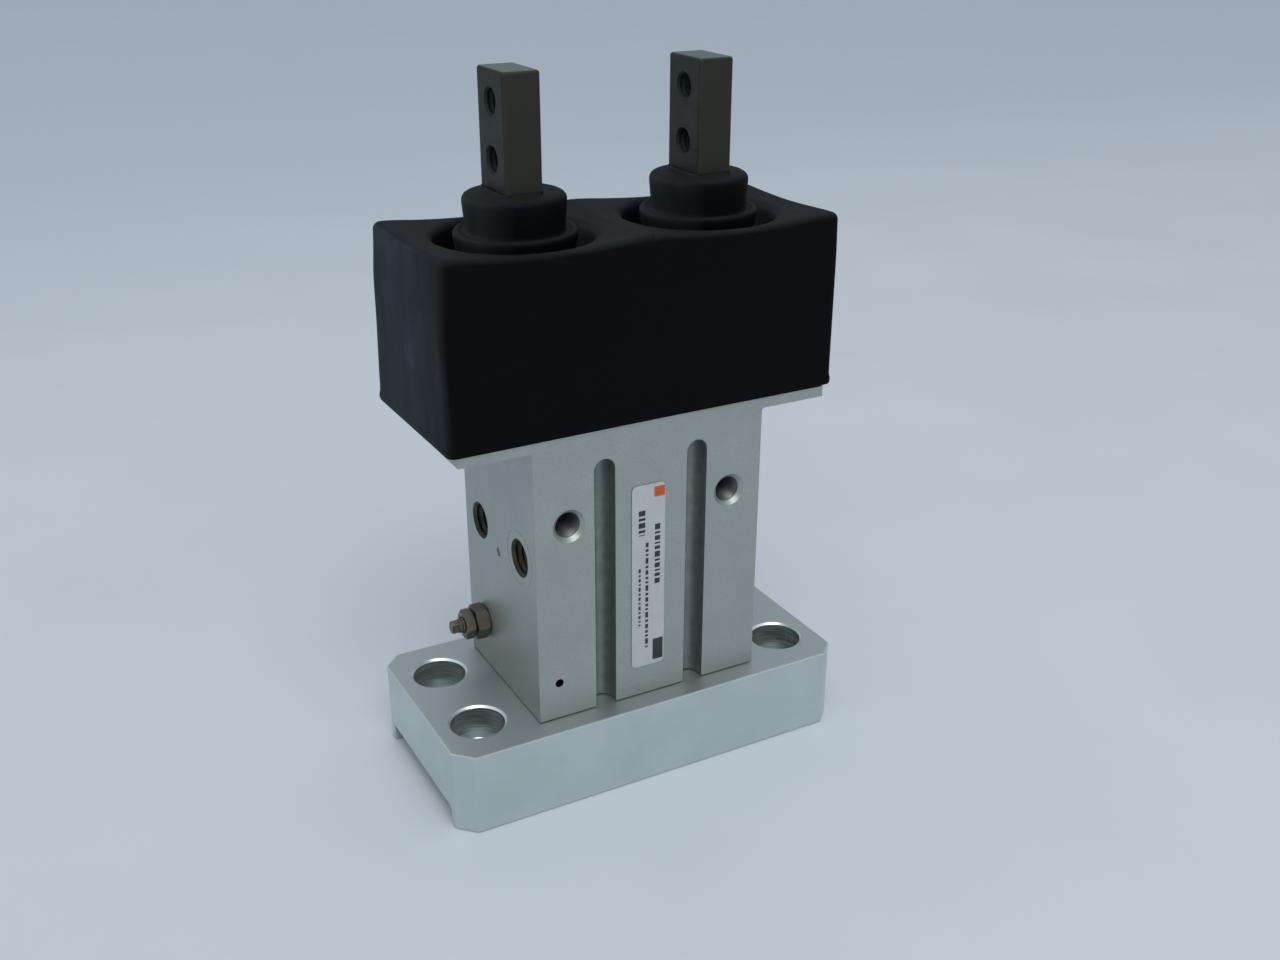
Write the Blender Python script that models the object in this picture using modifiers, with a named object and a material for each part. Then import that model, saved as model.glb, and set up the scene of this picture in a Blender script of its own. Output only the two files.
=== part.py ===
"""Two-finger parallel gripper driven by a wedge cam, on an adapter plate.

A double-acting piston lifts and lowers a wedge whose two inclined slots move the fingers
apart and together. A rubber cover with two boots keeps dust out of the finger guides.

+Z is up and X is the direction in which the fingers open. The origin is the centre of the
plate's underside. Lengths are in metres, and MM turns a size in millimetres into them.
"""

import math

import bmesh
import bpy
from mathutils import Matrix

MM = 0.001
GAP = 0.3 * MM
OVERRUN = 1.0 * MM

# Adapter plate
PLATE_LENGTH = 65.0 * MM
PLATE_DEPTH = 32.0 * MM
PLATE_HEIGHT = 13.0 * MM
PLATE_CORNER = 2.6 * MM
CHANNEL_DEPTH = 24.0 * MM
CHANNEL_HEIGHT = 2.8 * MM
MOUNT_HOLE_X = 26.0 * MM
MOUNT_HOLE_Y = 7.6 * MM
MOUNT_HOLE_RADIUS = 2.25 * MM
MOUNT_HEAD_RADIUS = 4.0 * MM
MOUNT_HEAD_DEPTH = 4.5 * MM

# Body: a block with a wide flange on top
BODY_WIDTH = 36.4 * MM
BODY_DEPTH = 25.2 * MM
BODY_BOTTOM = PLATE_HEIGHT + GAP
BODY_TOP = 57.1 * MM
FLANGE_LENGTH = 57.5 * MM
FLANGE_THICKNESS = 1.6 * MM
SLOT_X = 7.4 * MM
SLOT_WIDTH = 3.3 * MM
SLOT_DEPTH = 3.0 * MM
SLOT_TOP = 52.7 * MM
TAPPED_X = 12.95 * MM
TAPPED_Z = 43.7 * MM
TAPPED_DEPTH = 7.0 * MM
M4_DRILL = 2.1 * MM
DIMPLE_RADIUS = 0.65 * MM
PORT_Y = 7.1 * MM
PORT_Z = 37.6 * MM
M5_DRILL = 2.2 * MM
PASSAGE_RADIUS = 1.1 * MM
PASSAGE_X = -11.9 * MM
NEEDLE_Y = 6.96 * MM
NEEDLE_Z = 20.7 * MM
LABEL_X = (-3.2 * MM, 2.2 * MM)
LABEL_Z = (18.0 * MM, 47.5 * MM)
LABEL_THICKNESS = 0.12 * MM
LABEL_GAP = 0.05 * MM

# Cylinder
STROKE = 7.0 * MM
BORE = 8.0 * MM
BORE_ROOF = 41.5 * MM
RING_GROOVE = (14.2 * MM, 15.3 * MM)
RING_GROOVE_DEPTH = 0.8 * MM
SNAP_RING_RADII = (6.9 * MM, 8.5 * MM)
SNAP_RING_THICKNESS = 0.7 * MM
SNAP_RING_OPENING = 5.0 * MM
CAP_BOTTOM = 15.6 * MM
CAP_TOP = 18.7 * MM
CAP_GROOVE = (16.5 * MM, 18.1 * MM)
CAP_GROOVE_RADIUS = 6.3 * MM
CAP_SEAL_WIRE = 0.6 * MM
BUMPER_OUTER = 6.2 * MM
PISTON_BOTTOM = 26.5 * MM
PISTON_LENGTH = 8.0 * MM
PISTON_CHAMFER = 0.6 * MM
MAGNET_GROOVE = (27.3 * MM, 29.7 * MM)
MAGNET_GROOVE_RADIUS = 5.4 * MM
SEAL_GROOVE = (30.9 * MM, 32.9 * MM)
SEAL_GROOVE_RADIUS = 5.8 * MM
PISTON_NUT_FLATS = 6.5 * MM
PISTON_NUT_HEIGHT = 2.9 * MM
ROD_RADIUS = 3.0 * MM
ROD_END_RADIUS = 2.0 * MM
SEAL_SEAT_RADIUS = 5.3 * MM
SEAL_SEAT_BOTTOM = 45.5 * MM
CAM_POCKET_FLOOR = 53.0 * MM

# Wedge cam, at mid-stroke
FINGER_STROKE = 6.0 * MM
CAM_SLOPE = FINGER_STROKE / STROKE
CAM_THICKNESS = 7.0 * MM
CAM_CENTRE_Z = 65.3 * MM
CAM_HEIGHT = 15.0 * MM
CAM_HALF_WIDTH = 16.0 * MM
CAM_PIN_X = 9.0 * MM
CAM_PIN_RADIUS = 1.7 * MM
CAM_WALL = 1.6 * MM

# Fingers, at mid-stroke
FINGER_X = 14.3 * MM
FINGER_WIDTH = 5.3 * MM
FINGER_DEPTH = 8.3 * MM
FINGER_TOP = 103.3 * MM
FINGER_HOLES_Z = (91.9 * MM, 99.3 * MM)
FINGER_DRILL = 1.65 * MM
SLIDER_INNER = 3.6 * MM
SLIDER_OUTER = 24.6 * MM
SLIDER_DEPTH = 15.6 * MM
SLIDER_BOTTOM = 61.2 * MM
SLIDER_TOP = 76.0 * MM
TONGUE_DEPTH = 19.4 * MM
TONGUE_Z = (69.0 * MM, 72.0 * MM)

# Guide rails
RAIL_LENGTH = 55.0 * MM
RAIL_INNER = SLIDER_DEPTH / 2 + GAP
RAIL_OUTER = 10.9 * MM
FOOT_X = 14.0 * MM
FOOT_LENGTH = 6.0 * MM
FOOT_INNER = 3.9 * MM
FOOT_HEIGHT = 3.5 * MM
FOOT_SCREW_Y = 6.6 * MM

# Rubber cover and boots
COVER_LENGTH = 60.4 * MM
COVER_DEPTH = 25.8 * MM
COVER_TOP = 82.4 * MM
COVER_WALL = 1.4 * MM
COVER_EDGE = 1.0 * MM
WELL_RADIUS = 11.0 * MM
WELL_FLOOR = 77.8 * MM
WELL_FLOOR_THICKNESS = 1.2 * MM
BOOT_NECK_RADIUS = 6.0 * MM
BOOT_DRUM_RADIUS = 6.95 * MM
BOOT_RING_RADIUS = 8.35 * MM
BOOT_RING_TOP = 82.9 * MM
BOOT_TOP = 88.2 * MM
BOOT_LIP = 0.9 * MM

# Fasteners: (shank radius, head radius, head height)
M3 = (1.5 * MM, 2.75 * MM, 3.0 * MM)
M2_5 = (1.25 * MM, 2.25 * MM, 2.5 * MM)

ROUND_SIDES = 32
SMALL_SIDES = 20

# Finish: (colour, roughness, metallic)
ANODISED = ((0.40, 0.43, 0.44), 0.42, 0.7)
MILLED = ((0.50, 0.54, 0.56), 0.34, 0.8)
RUBBER = ((0.012, 0.014, 0.016), 0.62, 0.0)
DARK_STEEL = ((0.10, 0.10, 0.09), 0.45, 0.8)
BRIGHT_STEEL = ((0.55, 0.55, 0.54), 0.28, 1.0)
BLACK_STEEL = ((0.03, 0.03, 0.03), 0.40, 0.8)
BRONZE = ((0.16, 0.14, 0.10), 0.42, 0.9)
BUSH_BRONZE = ((0.52, 0.36, 0.16), 0.38, 1.0)
NITRILE = ((0.02, 0.02, 0.02), 0.55, 0.0)
BUMPER_RUBBER = ((0.45, 0.20, 0.05), 0.60, 0.0)
MAGNET = ((0.08, 0.08, 0.09), 0.55, 0.4)
LABEL_FILM = ((0.82, 0.83, 0.82), 0.35, 0.0)


# ---------------------------------------------------------------- scene and materials


def clear_scene():
    for obj in list(bpy.data.objects):
        bpy.data.objects.remove(obj, do_unlink=True)


def add_collection(name):
    group = bpy.data.collections.new(name)
    bpy.context.scene.collection.children.link(group)
    return group


clear_scene()
PARTS = add_collection("pneumatic_gripper")
CUTTERS = add_collection("cutters")


def finish(obj, look, parent=None):
    """Gives a sub-part its own material, smooth shading and, if it moves, its carriage."""
    colour, roughness, metallic = look
    material = bpy.data.materials.new(obj.name + "_finish")
    material.use_nodes = True
    shader = material.node_tree.nodes["Principled BSDF"]
    shader.inputs["Base Color"].default_value = (*colour, 1.0)
    shader.inputs["Roughness"].default_value = roughness
    shader.inputs["Metallic"].default_value = metallic
    obj.data.materials.append(material)
    obj.data.shade_smooth()
    obj.data.set_sharp_from_angle(angle=math.radians(35))
    if parent is not None:
        ride(obj, parent)
    return obj


def ride(obj, parent):
    obj.parent = parent
    for modifier in obj.modifiers:
        if modifier.type == "BOOLEAN":
            ride(modifier.object, parent)


def carriage(name):
    """An empty that carries one moving group. All of them stand at the origin."""
    empty = bpy.data.objects.new(name, None)
    empty.empty_display_size = 10 * MM
    PARTS.objects.link(empty)
    return empty


def hide_as_helper(obj):
    PARTS.objects.unlink(obj)
    CUTTERS.objects.link(obj)
    obj.hide_render = True
    obj.display_type = "WIRE"


# ---------------------------------------------------------------- shapes


def add_mesh(name, shape):
    mesh = bpy.data.meshes.new(name)
    shape.to_mesh(mesh)
    shape.free()
    obj = bpy.data.objects.new(name, mesh)
    PARTS.objects.link(obj)
    return obj


def box(name, low, high, rounding=0.0, segments=1, only_along=None):
    """A box from its low to its high corner. rounding is cut off every edge, or only off
    those that run along one axis (0, 1 or 2)."""
    size = [b - a for a, b in zip(low, high)]
    centre = [(a + b) / 2 for a, b in zip(low, high)]
    shape = bmesh.new()
    bmesh.ops.create_cube(shape, size=1.0, matrix=Matrix.Diagonal((*size, 1.0)))
    if rounding:
        edges = [edge for edge in shape.edges if runs_along(edge, only_along)]
        bmesh.ops.bevel(
            shape, geom=edges, offset=rounding, segments=segments, profile=0.5, affect="EDGES"
        )
    obj = add_mesh(name, shape)
    obj.location = centre
    return obj


def runs_along(edge, axis):
    if axis is None:
        return True
    direction = (edge.verts[1].co - edge.verts[0].co).normalized()
    return abs(direction[axis]) > 0.99


def cylinder(name, radius, centre, axis, start, end, sides=SMALL_SIDES):
    """A cylinder whose axis runs through centre along X, Y or Z, from start to end."""
    shape = bmesh.new()
    bmesh.ops.create_cone(
        shape,
        cap_ends=True,
        segments=sides,
        radius1=radius,
        radius2=radius,
        depth=end - start,
    )
    obj = add_mesh(name, shape)
    place_along(obj, centre, axis, (start + end) / 2)
    return obj


def place_along(obj, centre, axis, distance):
    """Turns an object's local Z to the named axis and puts its origin at that distance."""
    where = list(centre)
    where["XYZ".index(axis)] = distance
    obj.location = where
    if axis == "X":
        obj.rotation_euler = (0.0, math.pi / 2, 0.0)
    elif axis == "Y":
        obj.rotation_euler = (-math.pi / 2, 0.0, 0.0)


def turned(name, profile, centre=(0, 0, 0), axis="Z", sign=1, ring=False, sides=ROUND_SIDES):
    """Turns a profile of (radius, height) points, listed from the top down its outer side.
    Heights are along the axis, and sign -1 points them the other way. A ring's profile
    closes on itself."""
    shape = bmesh.new()
    points = [shape.verts.new((radius, 0.0, height)) for radius, height in profile]
    for a, b in zip(points, points[1:]):
        shape.edges.new((a, b))
    if ring:
        shape.edges.new((points[-1], points[0]))
    obj = add_mesh(name, shape)
    place_along(obj, centre, axis, centre["XYZ".index(axis)])
    if sign < 0:
        obj.rotation_euler.rotate_axis("X", math.pi)
    screw = obj.modifiers.new("turn", "SCREW")
    screw.steps = screw.render_steps = sides
    screw.use_merge_vertices = True
    screw.merge_threshold = 0.00001
    return obj


def extruded(name, outline, depth):
    """A flat outline of (x, z) points, extruded to both sides of the XZ plane."""
    curve = bpy.data.curves.new(name, "CURVE")
    curve.dimensions = "2D"
    curve.fill_mode = "BOTH"
    curve.extrude = depth / 2
    spline = curve.splines.new("POLY")
    spline.points.add(len(outline) - 1)
    for point, (x, z) in zip(spline.points, outline):
        point.co = (x, z, 0.0, 1.0)
    spline.use_cyclic_u = True
    drawn = bpy.data.objects.new(name + "_outline", curve)
    PARTS.objects.link(drawn)
    drawn.rotation_euler = (math.pi / 2, 0.0, 0.0)
    bpy.context.view_layer.update()
    solid = mesh_of_curve(name, drawn)
    bpy.data.objects.remove(drawn, do_unlink=True)
    return solid


def mesh_of_curve(name, drawn):
    graph = bpy.context.evaluated_depsgraph_get()
    mesh = bpy.data.meshes.new_from_object(drawn.evaluated_get(graph))
    shape = bmesh.new()
    shape.from_mesh(mesh)
    bmesh.ops.remove_doubles(shape, verts=shape.verts, dist=0.001 * MM)
    bmesh.ops.dissolve_limit(
        shape, angle_limit=math.radians(1), verts=shape.verts, edges=shape.edges
    )
    bmesh.ops.recalc_face_normals(shape, faces=shape.faces)
    bpy.data.meshes.remove(mesh)
    solid = add_mesh(name, shape)
    solid.matrix_world = drawn.matrix_world
    return solid


def combine(target, operation, others):
    for other in others:
        modifier = target.modifiers.new(other.name, "BOOLEAN")
        modifier.operation = operation
        modifier.object = other
        modifier.solver = "EXACT"
        hide_as_helper(other)


def cut(target, *cutters):
    combine(target, "DIFFERENCE", cutters)


def join(target, *pieces):
    combine(target, "UNION", pieces)


def soften(obj, width, angle=40):
    bevel = obj.modifiers.new("soft_edges", "BEVEL")
    bevel.width = width
    bevel.segments = 1
    bevel.limit_method = "ANGLE"
    bevel.angle_limit = math.radians(angle)


# ---------------------------------------------------------------- repeated features


def corners(x, y):
    """The four points at plus and minus x and y, in reading order."""
    return [(-x, -y), (x, -y), (-x, y), (x, y)]


def across(side, a, b):
    """The low and the high of two distances from the centre, on one side of it."""
    return sorted((side * a, side * b))


def blind_hole(name, drill, mouth, depth, centre, axis, sign):
    """A cutter for a drilled hole with a countersunk mouth. Its depth is along the axis,
    and sign says to which side the mouth points."""
    profile = [
        (0.0, OVERRUN),
        (mouth, OVERRUN),
        (mouth, 0.0),
        (drill, drill - mouth),
        (drill, -depth),
        (0.0, -depth - drill / 2),
    ]
    return turned(name, profile, centre, axis, sign, sides=SMALL_SIDES)


def cap_screw(name, size, x, y, seat, tip, up, parent=None):
    """A socket head screw. Its head stands on the seat height and points up or down."""
    shank, head, head_height = size
    length = abs(seat - tip)
    socket = head * 0.5
    profile = [
        (0.0, head_height),
        (head, head_height),
        (head, 0.0),
        (shank, 0.0),
        (shank, -length),
        (0.0, -length),
    ]
    screw = turned(name, profile, (x, y, seat), sign=up, sides=SMALL_SIDES)
    top = seat + up * head_height
    low, high = sorted((top - up * head_height * 0.5, top + up * OVERRUN))
    cut(screw, cylinder(name + "_socket", socket, (x, y, 0), "Z", low, high, sides=6))
    return finish(screw, BLACK_STEEL, parent)


def hexagon(name, across_flats, centre, axis, start, end):
    corner_radius = across_flats / 2 / math.cos(math.pi / 6)
    return cylinder(name, corner_radius, centre, axis, start, end, sides=6)


# ---------------------------------------------------------------- adapter plate

PLATE_SCREW_X = 15.0 * MM
PLATE_SCREW_Y = 8.6 * MM
PLATE_SCREW_SEAT = CHANNEL_HEIGHT + M3[2] + GAP
PLATE_SCREW_TIP = 17.4 * MM


def build_plate():
    plate = box(
        "base_plate",
        (-PLATE_LENGTH / 2, -PLATE_DEPTH / 2, 0.0),
        (PLATE_LENGTH / 2, PLATE_DEPTH / 2, PLATE_HEIGHT),
        rounding=PLATE_CORNER,
        only_along=2,
    )
    soften(plate, 0.3 * MM, angle=60)
    channel = box(
        "underside_channel",
        (-PLATE_LENGTH / 2 - OVERRUN, -CHANNEL_DEPTH / 2, -OVERRUN),
        (PLATE_LENGTH / 2 + OVERRUN, CHANNEL_DEPTH / 2, CHANNEL_HEIGHT),
    )
    cut(plate, channel)
    for index, (x, y) in enumerate(corners(MOUNT_HOLE_X, MOUNT_HOLE_Y)):
        cut(plate, mount_hole(f"mount_hole_{index + 1}", x, y))
    for index, (x, y) in enumerate(corners(PLATE_SCREW_X, PLATE_SCREW_Y)):
        cut(plate, plate_screw_hole(f"plate_screw_hole_{index + 1}", x, y))
    finish(plate, MILLED)


def mount_hole(name, x, y):
    rim = 0.4 * MM
    floor = PLATE_HEIGHT - MOUNT_HEAD_DEPTH
    profile = [
        (0.0, PLATE_HEIGHT + OVERRUN),
        (MOUNT_HEAD_RADIUS + rim, PLATE_HEIGHT + OVERRUN),
        (MOUNT_HEAD_RADIUS + rim, PLATE_HEIGHT),
        (MOUNT_HEAD_RADIUS, PLATE_HEIGHT - rim),
        (MOUNT_HEAD_RADIUS, floor),
        (MOUNT_HOLE_RADIUS, floor),
        (MOUNT_HOLE_RADIUS, CHANNEL_HEIGHT - OVERRUN),
        (0.0, CHANNEL_HEIGHT - OVERRUN),
    ]
    return turned(name, profile, (x, y, 0.0))


def plate_screw_hole(name, x, y):
    shank, head, _ = M3
    profile = [
        (0.0, PLATE_HEIGHT + OVERRUN),
        (shank + GAP, PLATE_HEIGHT + OVERRUN),
        (shank + GAP, PLATE_SCREW_SEAT + GAP),
        (head + GAP, PLATE_SCREW_SEAT + GAP),
        (head + GAP, CHANNEL_HEIGHT - OVERRUN),
        (0.0, CHANNEL_HEIGHT - OVERRUN),
    ]
    return turned(name, profile, (x, y, 0.0), sides=SMALL_SIDES)


def build_plate_screws():
    for index, (x, y) in enumerate(corners(PLATE_SCREW_X, PLATE_SCREW_Y)):
        name = f"plate_screw_{index + 1}"
        cap_screw(name, M3, x, y, PLATE_SCREW_SEAT, PLATE_SCREW_TIP, up=-1)


# ---------------------------------------------------------------- body


def build_body():
    half, wide, deep = BODY_WIDTH / 2, FLANGE_LENGTH / 2, BODY_DEPTH / 2
    body = box("body", (-wide, -deep, BODY_BOTTOM), (wide, deep, BODY_TOP))
    for side in (-1, 1):
        left, right = across(side, half, wide + OVERRUN)
        undercut = box(
            f"flange_undercut_{side}",
            (left, -deep - OVERRUN, BODY_BOTTOM - OVERRUN),
            (right, deep + OVERRUN, BODY_TOP - FLANGE_THICKNESS),
        )
        cut(body, undercut)
    soften(body, 0.2 * MM)
    cut(body, bore_cutter(), rod_seat_cutter(), cam_pocket_cutter())
    for side in (-1, 1):
        for x in (-SLOT_X, SLOT_X):
            cut(body, sensor_slot(f"sensor_slot_{side}_{x:.4f}", x, side))
        for x in (-TAPPED_X, TAPPED_X):
            cut(body, tapped_hole(f"tapped_hole_{side}_{x:.4f}", x, side))
    cut(body, *air_cutters())
    for index, (x, y) in enumerate(corners(PLATE_SCREW_X, PLATE_SCREW_Y)):
        radius = M3[0] + GAP
        top = PLATE_SCREW_TIP + GAP
        low = BODY_BOTTOM - OVERRUN
        cut(body, cylinder(f"bottom_thread_{index + 1}", radius, (x, y, 0), "Z", low, top))
    for index, (x, y) in enumerate(corners(FOOT_X, FOOT_SCREW_Y)):
        radius = M2_5[0] + GAP
        low = GUIDE_SCREW_TIP - GAP
        top = BODY_TOP + OVERRUN
        cut(body, cylinder(f"top_thread_{index + 1}", radius, (x, y, 0), "Z", low, top))
    finish(body, ANODISED)


def bore_cutter():
    low, high = RING_GROOVE
    groove = BORE + RING_GROOVE_DEPTH
    profile = [
        (0.0, BORE_ROOF),
        (BORE, BORE_ROOF),
        (BORE, high),
        (groove, high),
        (groove, low),
        (BORE, low),
        (BORE, BODY_BOTTOM - OVERRUN),
        (0.0, BODY_BOTTOM - OVERRUN),
    ]
    return turned("cylinder_bore", profile)


def rod_seat_cutter():
    top = CAM_POCKET_FLOOR + OVERRUN
    low = BORE_ROOF - OVERRUN
    profile = [
        (0.0, top),
        (SEAL_SEAT_RADIUS, top),
        (SEAL_SEAT_RADIUS, SEAL_SEAT_BOTTOM),
        (ROD_RADIUS + GAP, SEAL_SEAT_BOTTOM),
        (ROD_RADIUS + GAP, low),
        (0.0, low),
    ]
    return turned("rod_seat", profile)


def cam_pocket_cutter():
    half_x = CAM_HALF_WIDTH + 1.0 * MM
    half_y = CAM_THICKNESS / 2 + 0.7 * MM
    return box(
        "cam_pocket",
        (-half_x, -half_y, CAM_POCKET_FLOOR),
        (half_x, half_y, BODY_TOP + OVERRUN),
    )


def sensor_slot(name, x, side):
    """A groove with a round floor and a round upper end, open at the bottom. side is -1 on
    the front and 1 on the back."""
    face = side * BODY_DEPTH / 2
    near, far = sorted((face - side * SLOT_DEPTH, face + side * SLOT_DEPTH))
    return box(
        name,
        (x - SLOT_WIDTH / 2, near, BODY_BOTTOM - SLOT_WIDTH),
        (x + SLOT_WIDTH / 2, far, SLOT_TOP),
        rounding=SLOT_WIDTH * 0.49,
        segments=5,
    )


def tapped_hole(name, x, side):
    centre = (x, side * BODY_DEPTH / 2, TAPPED_Z)
    return blind_hole(name, M4_DRILL, M4_DRILL + 0.35 * MM, TAPPED_DEPTH, centre, "Y", side)


def air_cutters():
    """The two ports, the flow needle's seat, the passages to the bore and two dimples."""
    face = -BODY_WIDTH / 2
    mouth = M5_DRILL + 0.7 * MM
    depth = PASSAGE_X - face + PASSAGE_RADIUS + 0.2 * MM
    inner = -3.0 * MM
    front = (face, -PORT_Y, PORT_Z)
    rear = (face, PORT_Y, PORT_Z)
    seat = (face, NEEDLE_Y, NEEDLE_Z)
    drop = (PASSAGE_X, NEEDLE_Y, 0.0)
    pin = (-15.0 * MM, 0.0, 19.0 * MM)
    dimple = (0.0, 0.5 * MM, 35.2 * MM)
    from_face = -BODY_DEPTH / 2
    return [
        blind_hole("front_port", M5_DRILL, mouth, depth, front, "X", -1),
        blind_hole("rear_port", M5_DRILL, mouth, depth, rear, "X", -1),
        blind_hole("needle_seat", M5_DRILL, M5_DRILL + 0.2 * MM, depth, seat, "X", -1),
        cylinder("front_passage", PASSAGE_RADIUS, front, "X", PASSAGE_X, inner),
        cylinder("lower_passage", PASSAGE_RADIUS, seat, "X", PASSAGE_X, inner),
        cylinder(
            "drop_passage", PASSAGE_RADIUS, drop, "Z", BODY_BOTTOM - OVERRUN, PORT_Z - 0.5 * MM
        ),
        cylinder(
            "pin_dimple", DIMPLE_RADIUS, pin, "Y", from_face - OVERRUN, from_face + 2.0 * MM
        ),
        cylinder("centre_dimple", 0.5 * MM, dimple, "X", face - OVERRUN, face + 0.4 * MM),
    ]


def build_label():
    back = -BODY_DEPTH / 2 - LABEL_GAP
    label = box(
        "label",
        (LABEL_X[0], back - LABEL_THICKNESS, LABEL_Z[0]),
        (LABEL_X[1], back, LABEL_Z[1]),
        rounding=0.6 * MM,
        segments=3,
        only_along=1,
    )
    finish(label, LABEL_FILM)


# ---------------------------------------------------------------- cylinder


def ring_profile(inner, outer, low, high):
    return [(inner, high), (outer, high), (outer, low), (inner, low)]


def build_cylinder_end():
    """The cap that closes the bore, its seal, the snap ring that holds it and a plug."""
    groove_low, groove_high = CAP_GROOVE
    radius = BORE - GAP
    profile = [
        (0.0, CAP_TOP),
        (radius, CAP_TOP),
        (radius, groove_high),
        (CAP_GROOVE_RADIUS, groove_high),
        (CAP_GROOVE_RADIUS, groove_low),
        (radius, groove_low),
        (radius, CAP_BOTTOM),
        (0.0, CAP_BOTTOM),
    ]
    finish(turned("cylinder_cap", profile), MILLED)
    height = (groove_low + groove_high) / 2
    ring_radius = (CAP_GROOVE_RADIUS + BORE) / 2
    finish(o_ring("cap_seal", ring_radius, CAP_SEAL_WIRE, height), NITRILE)
    build_snap_ring()
    low = BODY_BOTTOM + GAP
    plug = (PASSAGE_X, NEEDLE_Y, 0.0)
    radius = PASSAGE_RADIUS - 0.2 * MM
    finish(cylinder("passage_plug", radius, plug, "Z", low, low + 2.0 * MM), BRIGHT_STEEL)


def build_snap_ring():
    inner, outer = SNAP_RING_RADII
    middle = (RING_GROOVE[0] + RING_GROOVE[1]) / 2
    low = middle - SNAP_RING_THICKNESS / 2
    high = middle + SNAP_RING_THICKNESS / 2
    ring = turned("cap_snap_ring", ring_profile(inner, outer, low, high), ring=True)
    half = SNAP_RING_OPENING / 2
    opening = box(
        "snap_ring_opening",
        (-half, inner - OVERRUN, low - OVERRUN),
        (half, outer + OVERRUN, high + OVERRUN),
    )
    cut(ring, opening)
    finish(ring, BRIGHT_STEEL)


def o_ring(name, centre_radius, wire_radius, height, parts=8):
    """A turned ring of round section, its profile listed from the top round the outside."""
    angles = [math.pi / 2 - 2 * math.pi * i / parts for i in range(parts)]
    profile = [
        (centre_radius + wire_radius * math.cos(a), height + wire_radius * math.sin(a))
        for a in angles
    ]
    return turned(name, profile, ring=True, sides=SMALL_SIDES)


def build_bumpers():
    low = CAP_TOP + GAP
    high = PISTON_BOTTOM - STROKE / 2 - GAP
    ring = ring_profile(4.3 * MM, BUMPER_OUTER, low, high)
    finish(turned("lower_bumper", ring, ring=True, sides=SMALL_SIDES), BUMPER_RUBBER)
    low = PISTON_BOTTOM + PISTON_LENGTH + STROKE / 2 + GAP
    high = BORE_ROOF - GAP
    ring = ring_profile(3.7 * MM, BUMPER_OUTER, low, high)
    finish(turned("upper_bumper", ring, ring=True, sides=SMALL_SIDES), BUMPER_RUBBER)


def build_piston(moving):
    low, high = PISTON_BOTTOM, PISTON_BOTTOM + PISTON_LENGTH
    outer = BORE - GAP
    hole = ROD_END_RADIUS + GAP
    magnet_low, magnet_high = MAGNET_GROOVE
    seal_low, seal_high = SEAL_GROOVE
    profile = [
        (hole, high),
        (outer - PISTON_CHAMFER, high),
        (outer, high - PISTON_CHAMFER),
        (outer, seal_high),
        (SEAL_GROOVE_RADIUS, seal_high),
        (SEAL_GROOVE_RADIUS, seal_low),
        (outer, seal_low),
        (outer, magnet_high),
        (MAGNET_GROOVE_RADIUS, magnet_high),
        (MAGNET_GROOVE_RADIUS, magnet_low),
        (outer, magnet_low),
        (outer, low),
        (hole, low),
    ]
    finish(turned("piston", profile, ring=True), MILLED, moving)
    inner = SEAL_GROOVE_RADIUS + GAP
    seal = ring_profile(inner, BORE - 0.15 * MM, seal_low + GAP, seal_high - GAP)
    finish(turned("piston_seal", seal, ring=True), NITRILE, moving)
    inner = MAGNET_GROOVE_RADIUS + GAP
    magnet = ring_profile(inner, 7.5 * MM, magnet_low + GAP, magnet_high - GAP)
    finish(turned("piston_magnet", magnet, ring=True), MAGNET, moving)
    build_rod(moving)
    nut_top = low - GAP
    nut_bottom = nut_top - PISTON_NUT_HEIGHT
    centre = (0.0, 0.0, 0.0)
    nut = hexagon("piston_nut", PISTON_NUT_FLATS, centre, "Z", nut_bottom, nut_top)
    cut(nut, cylinder("piston_nut_thread", hole, centre, "Z", nut_bottom - OVERRUN, low))
    finish(nut, BRIGHT_STEEL, moving)


def build_rod(moving):
    shoulder = PISTON_BOTTOM + PISTON_LENGTH + GAP
    bottom = PISTON_BOTTOM - PISTON_NUT_HEIGHT - 0.4 * MM
    profile = [
        (0.0, ROD_TOP),
        (ROD_RADIUS - 0.4 * MM, ROD_TOP),
        (ROD_RADIUS, ROD_TOP - 0.4 * MM),
        (ROD_RADIUS, shoulder),
        (ROD_END_RADIUS, shoulder),
        (ROD_END_RADIUS, bottom),
        (0.0, bottom),
    ]
    rod = turned("piston_rod", profile)
    thread = M2_5[0] + GAP
    low = CAM_SCREW_TIP - GAP
    cut(rod, cylinder("rod_thread", thread, (0, 0, 0), "Z", low, ROD_TOP + OVERRUN))
    finish(rod, BRIGHT_STEEL, moving)


def build_rod_guide():
    outer = SEAL_SEAT_RADIUS - GAP
    low = SEAL_SEAT_BOTTOM + GAP
    seal_inner = ROD_RADIUS + 0.15 * MM
    seal = ring_profile(seal_inner, outer, low, low + 3.0 * MM)
    finish(turned("rod_seal", seal, ring=True), NITRILE)
    bush = ring_profile(seal_inner, outer, low + 3.0 * MM + GAP, CAM_POCKET_FLOOR - GAP)
    finish(turned("rod_bush", bush, ring=True), BUSH_BRONZE)


# ---------------------------------------------------------------- wedge cam

CAM_TOP = CAM_CENTRE_Z + CAM_HEIGHT / 2
CAM_BOTTOM = CAM_CENTRE_Z - CAM_HEIGHT / 2
ROD_TOP = CAM_BOTTOM + 4.2 * MM
CAM_SCREW_SEAT = CAM_TOP - 2.8 * MM
CAM_SCREW_TIP = CAM_SCREW_SEAT - 12.0 * MM
CAM_SLOT_RADIUS = CAM_PIN_RADIUS + GAP
CAM_ANGLE = math.atan(CAM_SLOPE)


def cam_side(z, clear=0.0):
    """How far the wedge's inclined side is from the centre at height z."""
    offset = (CAM_SLOT_RADIUS + CAM_WALL + clear) / math.cos(CAM_ANGLE)
    return CAM_PIN_X - CAM_SLOPE * (z - CAM_CENTRE_Z) + offset


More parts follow.
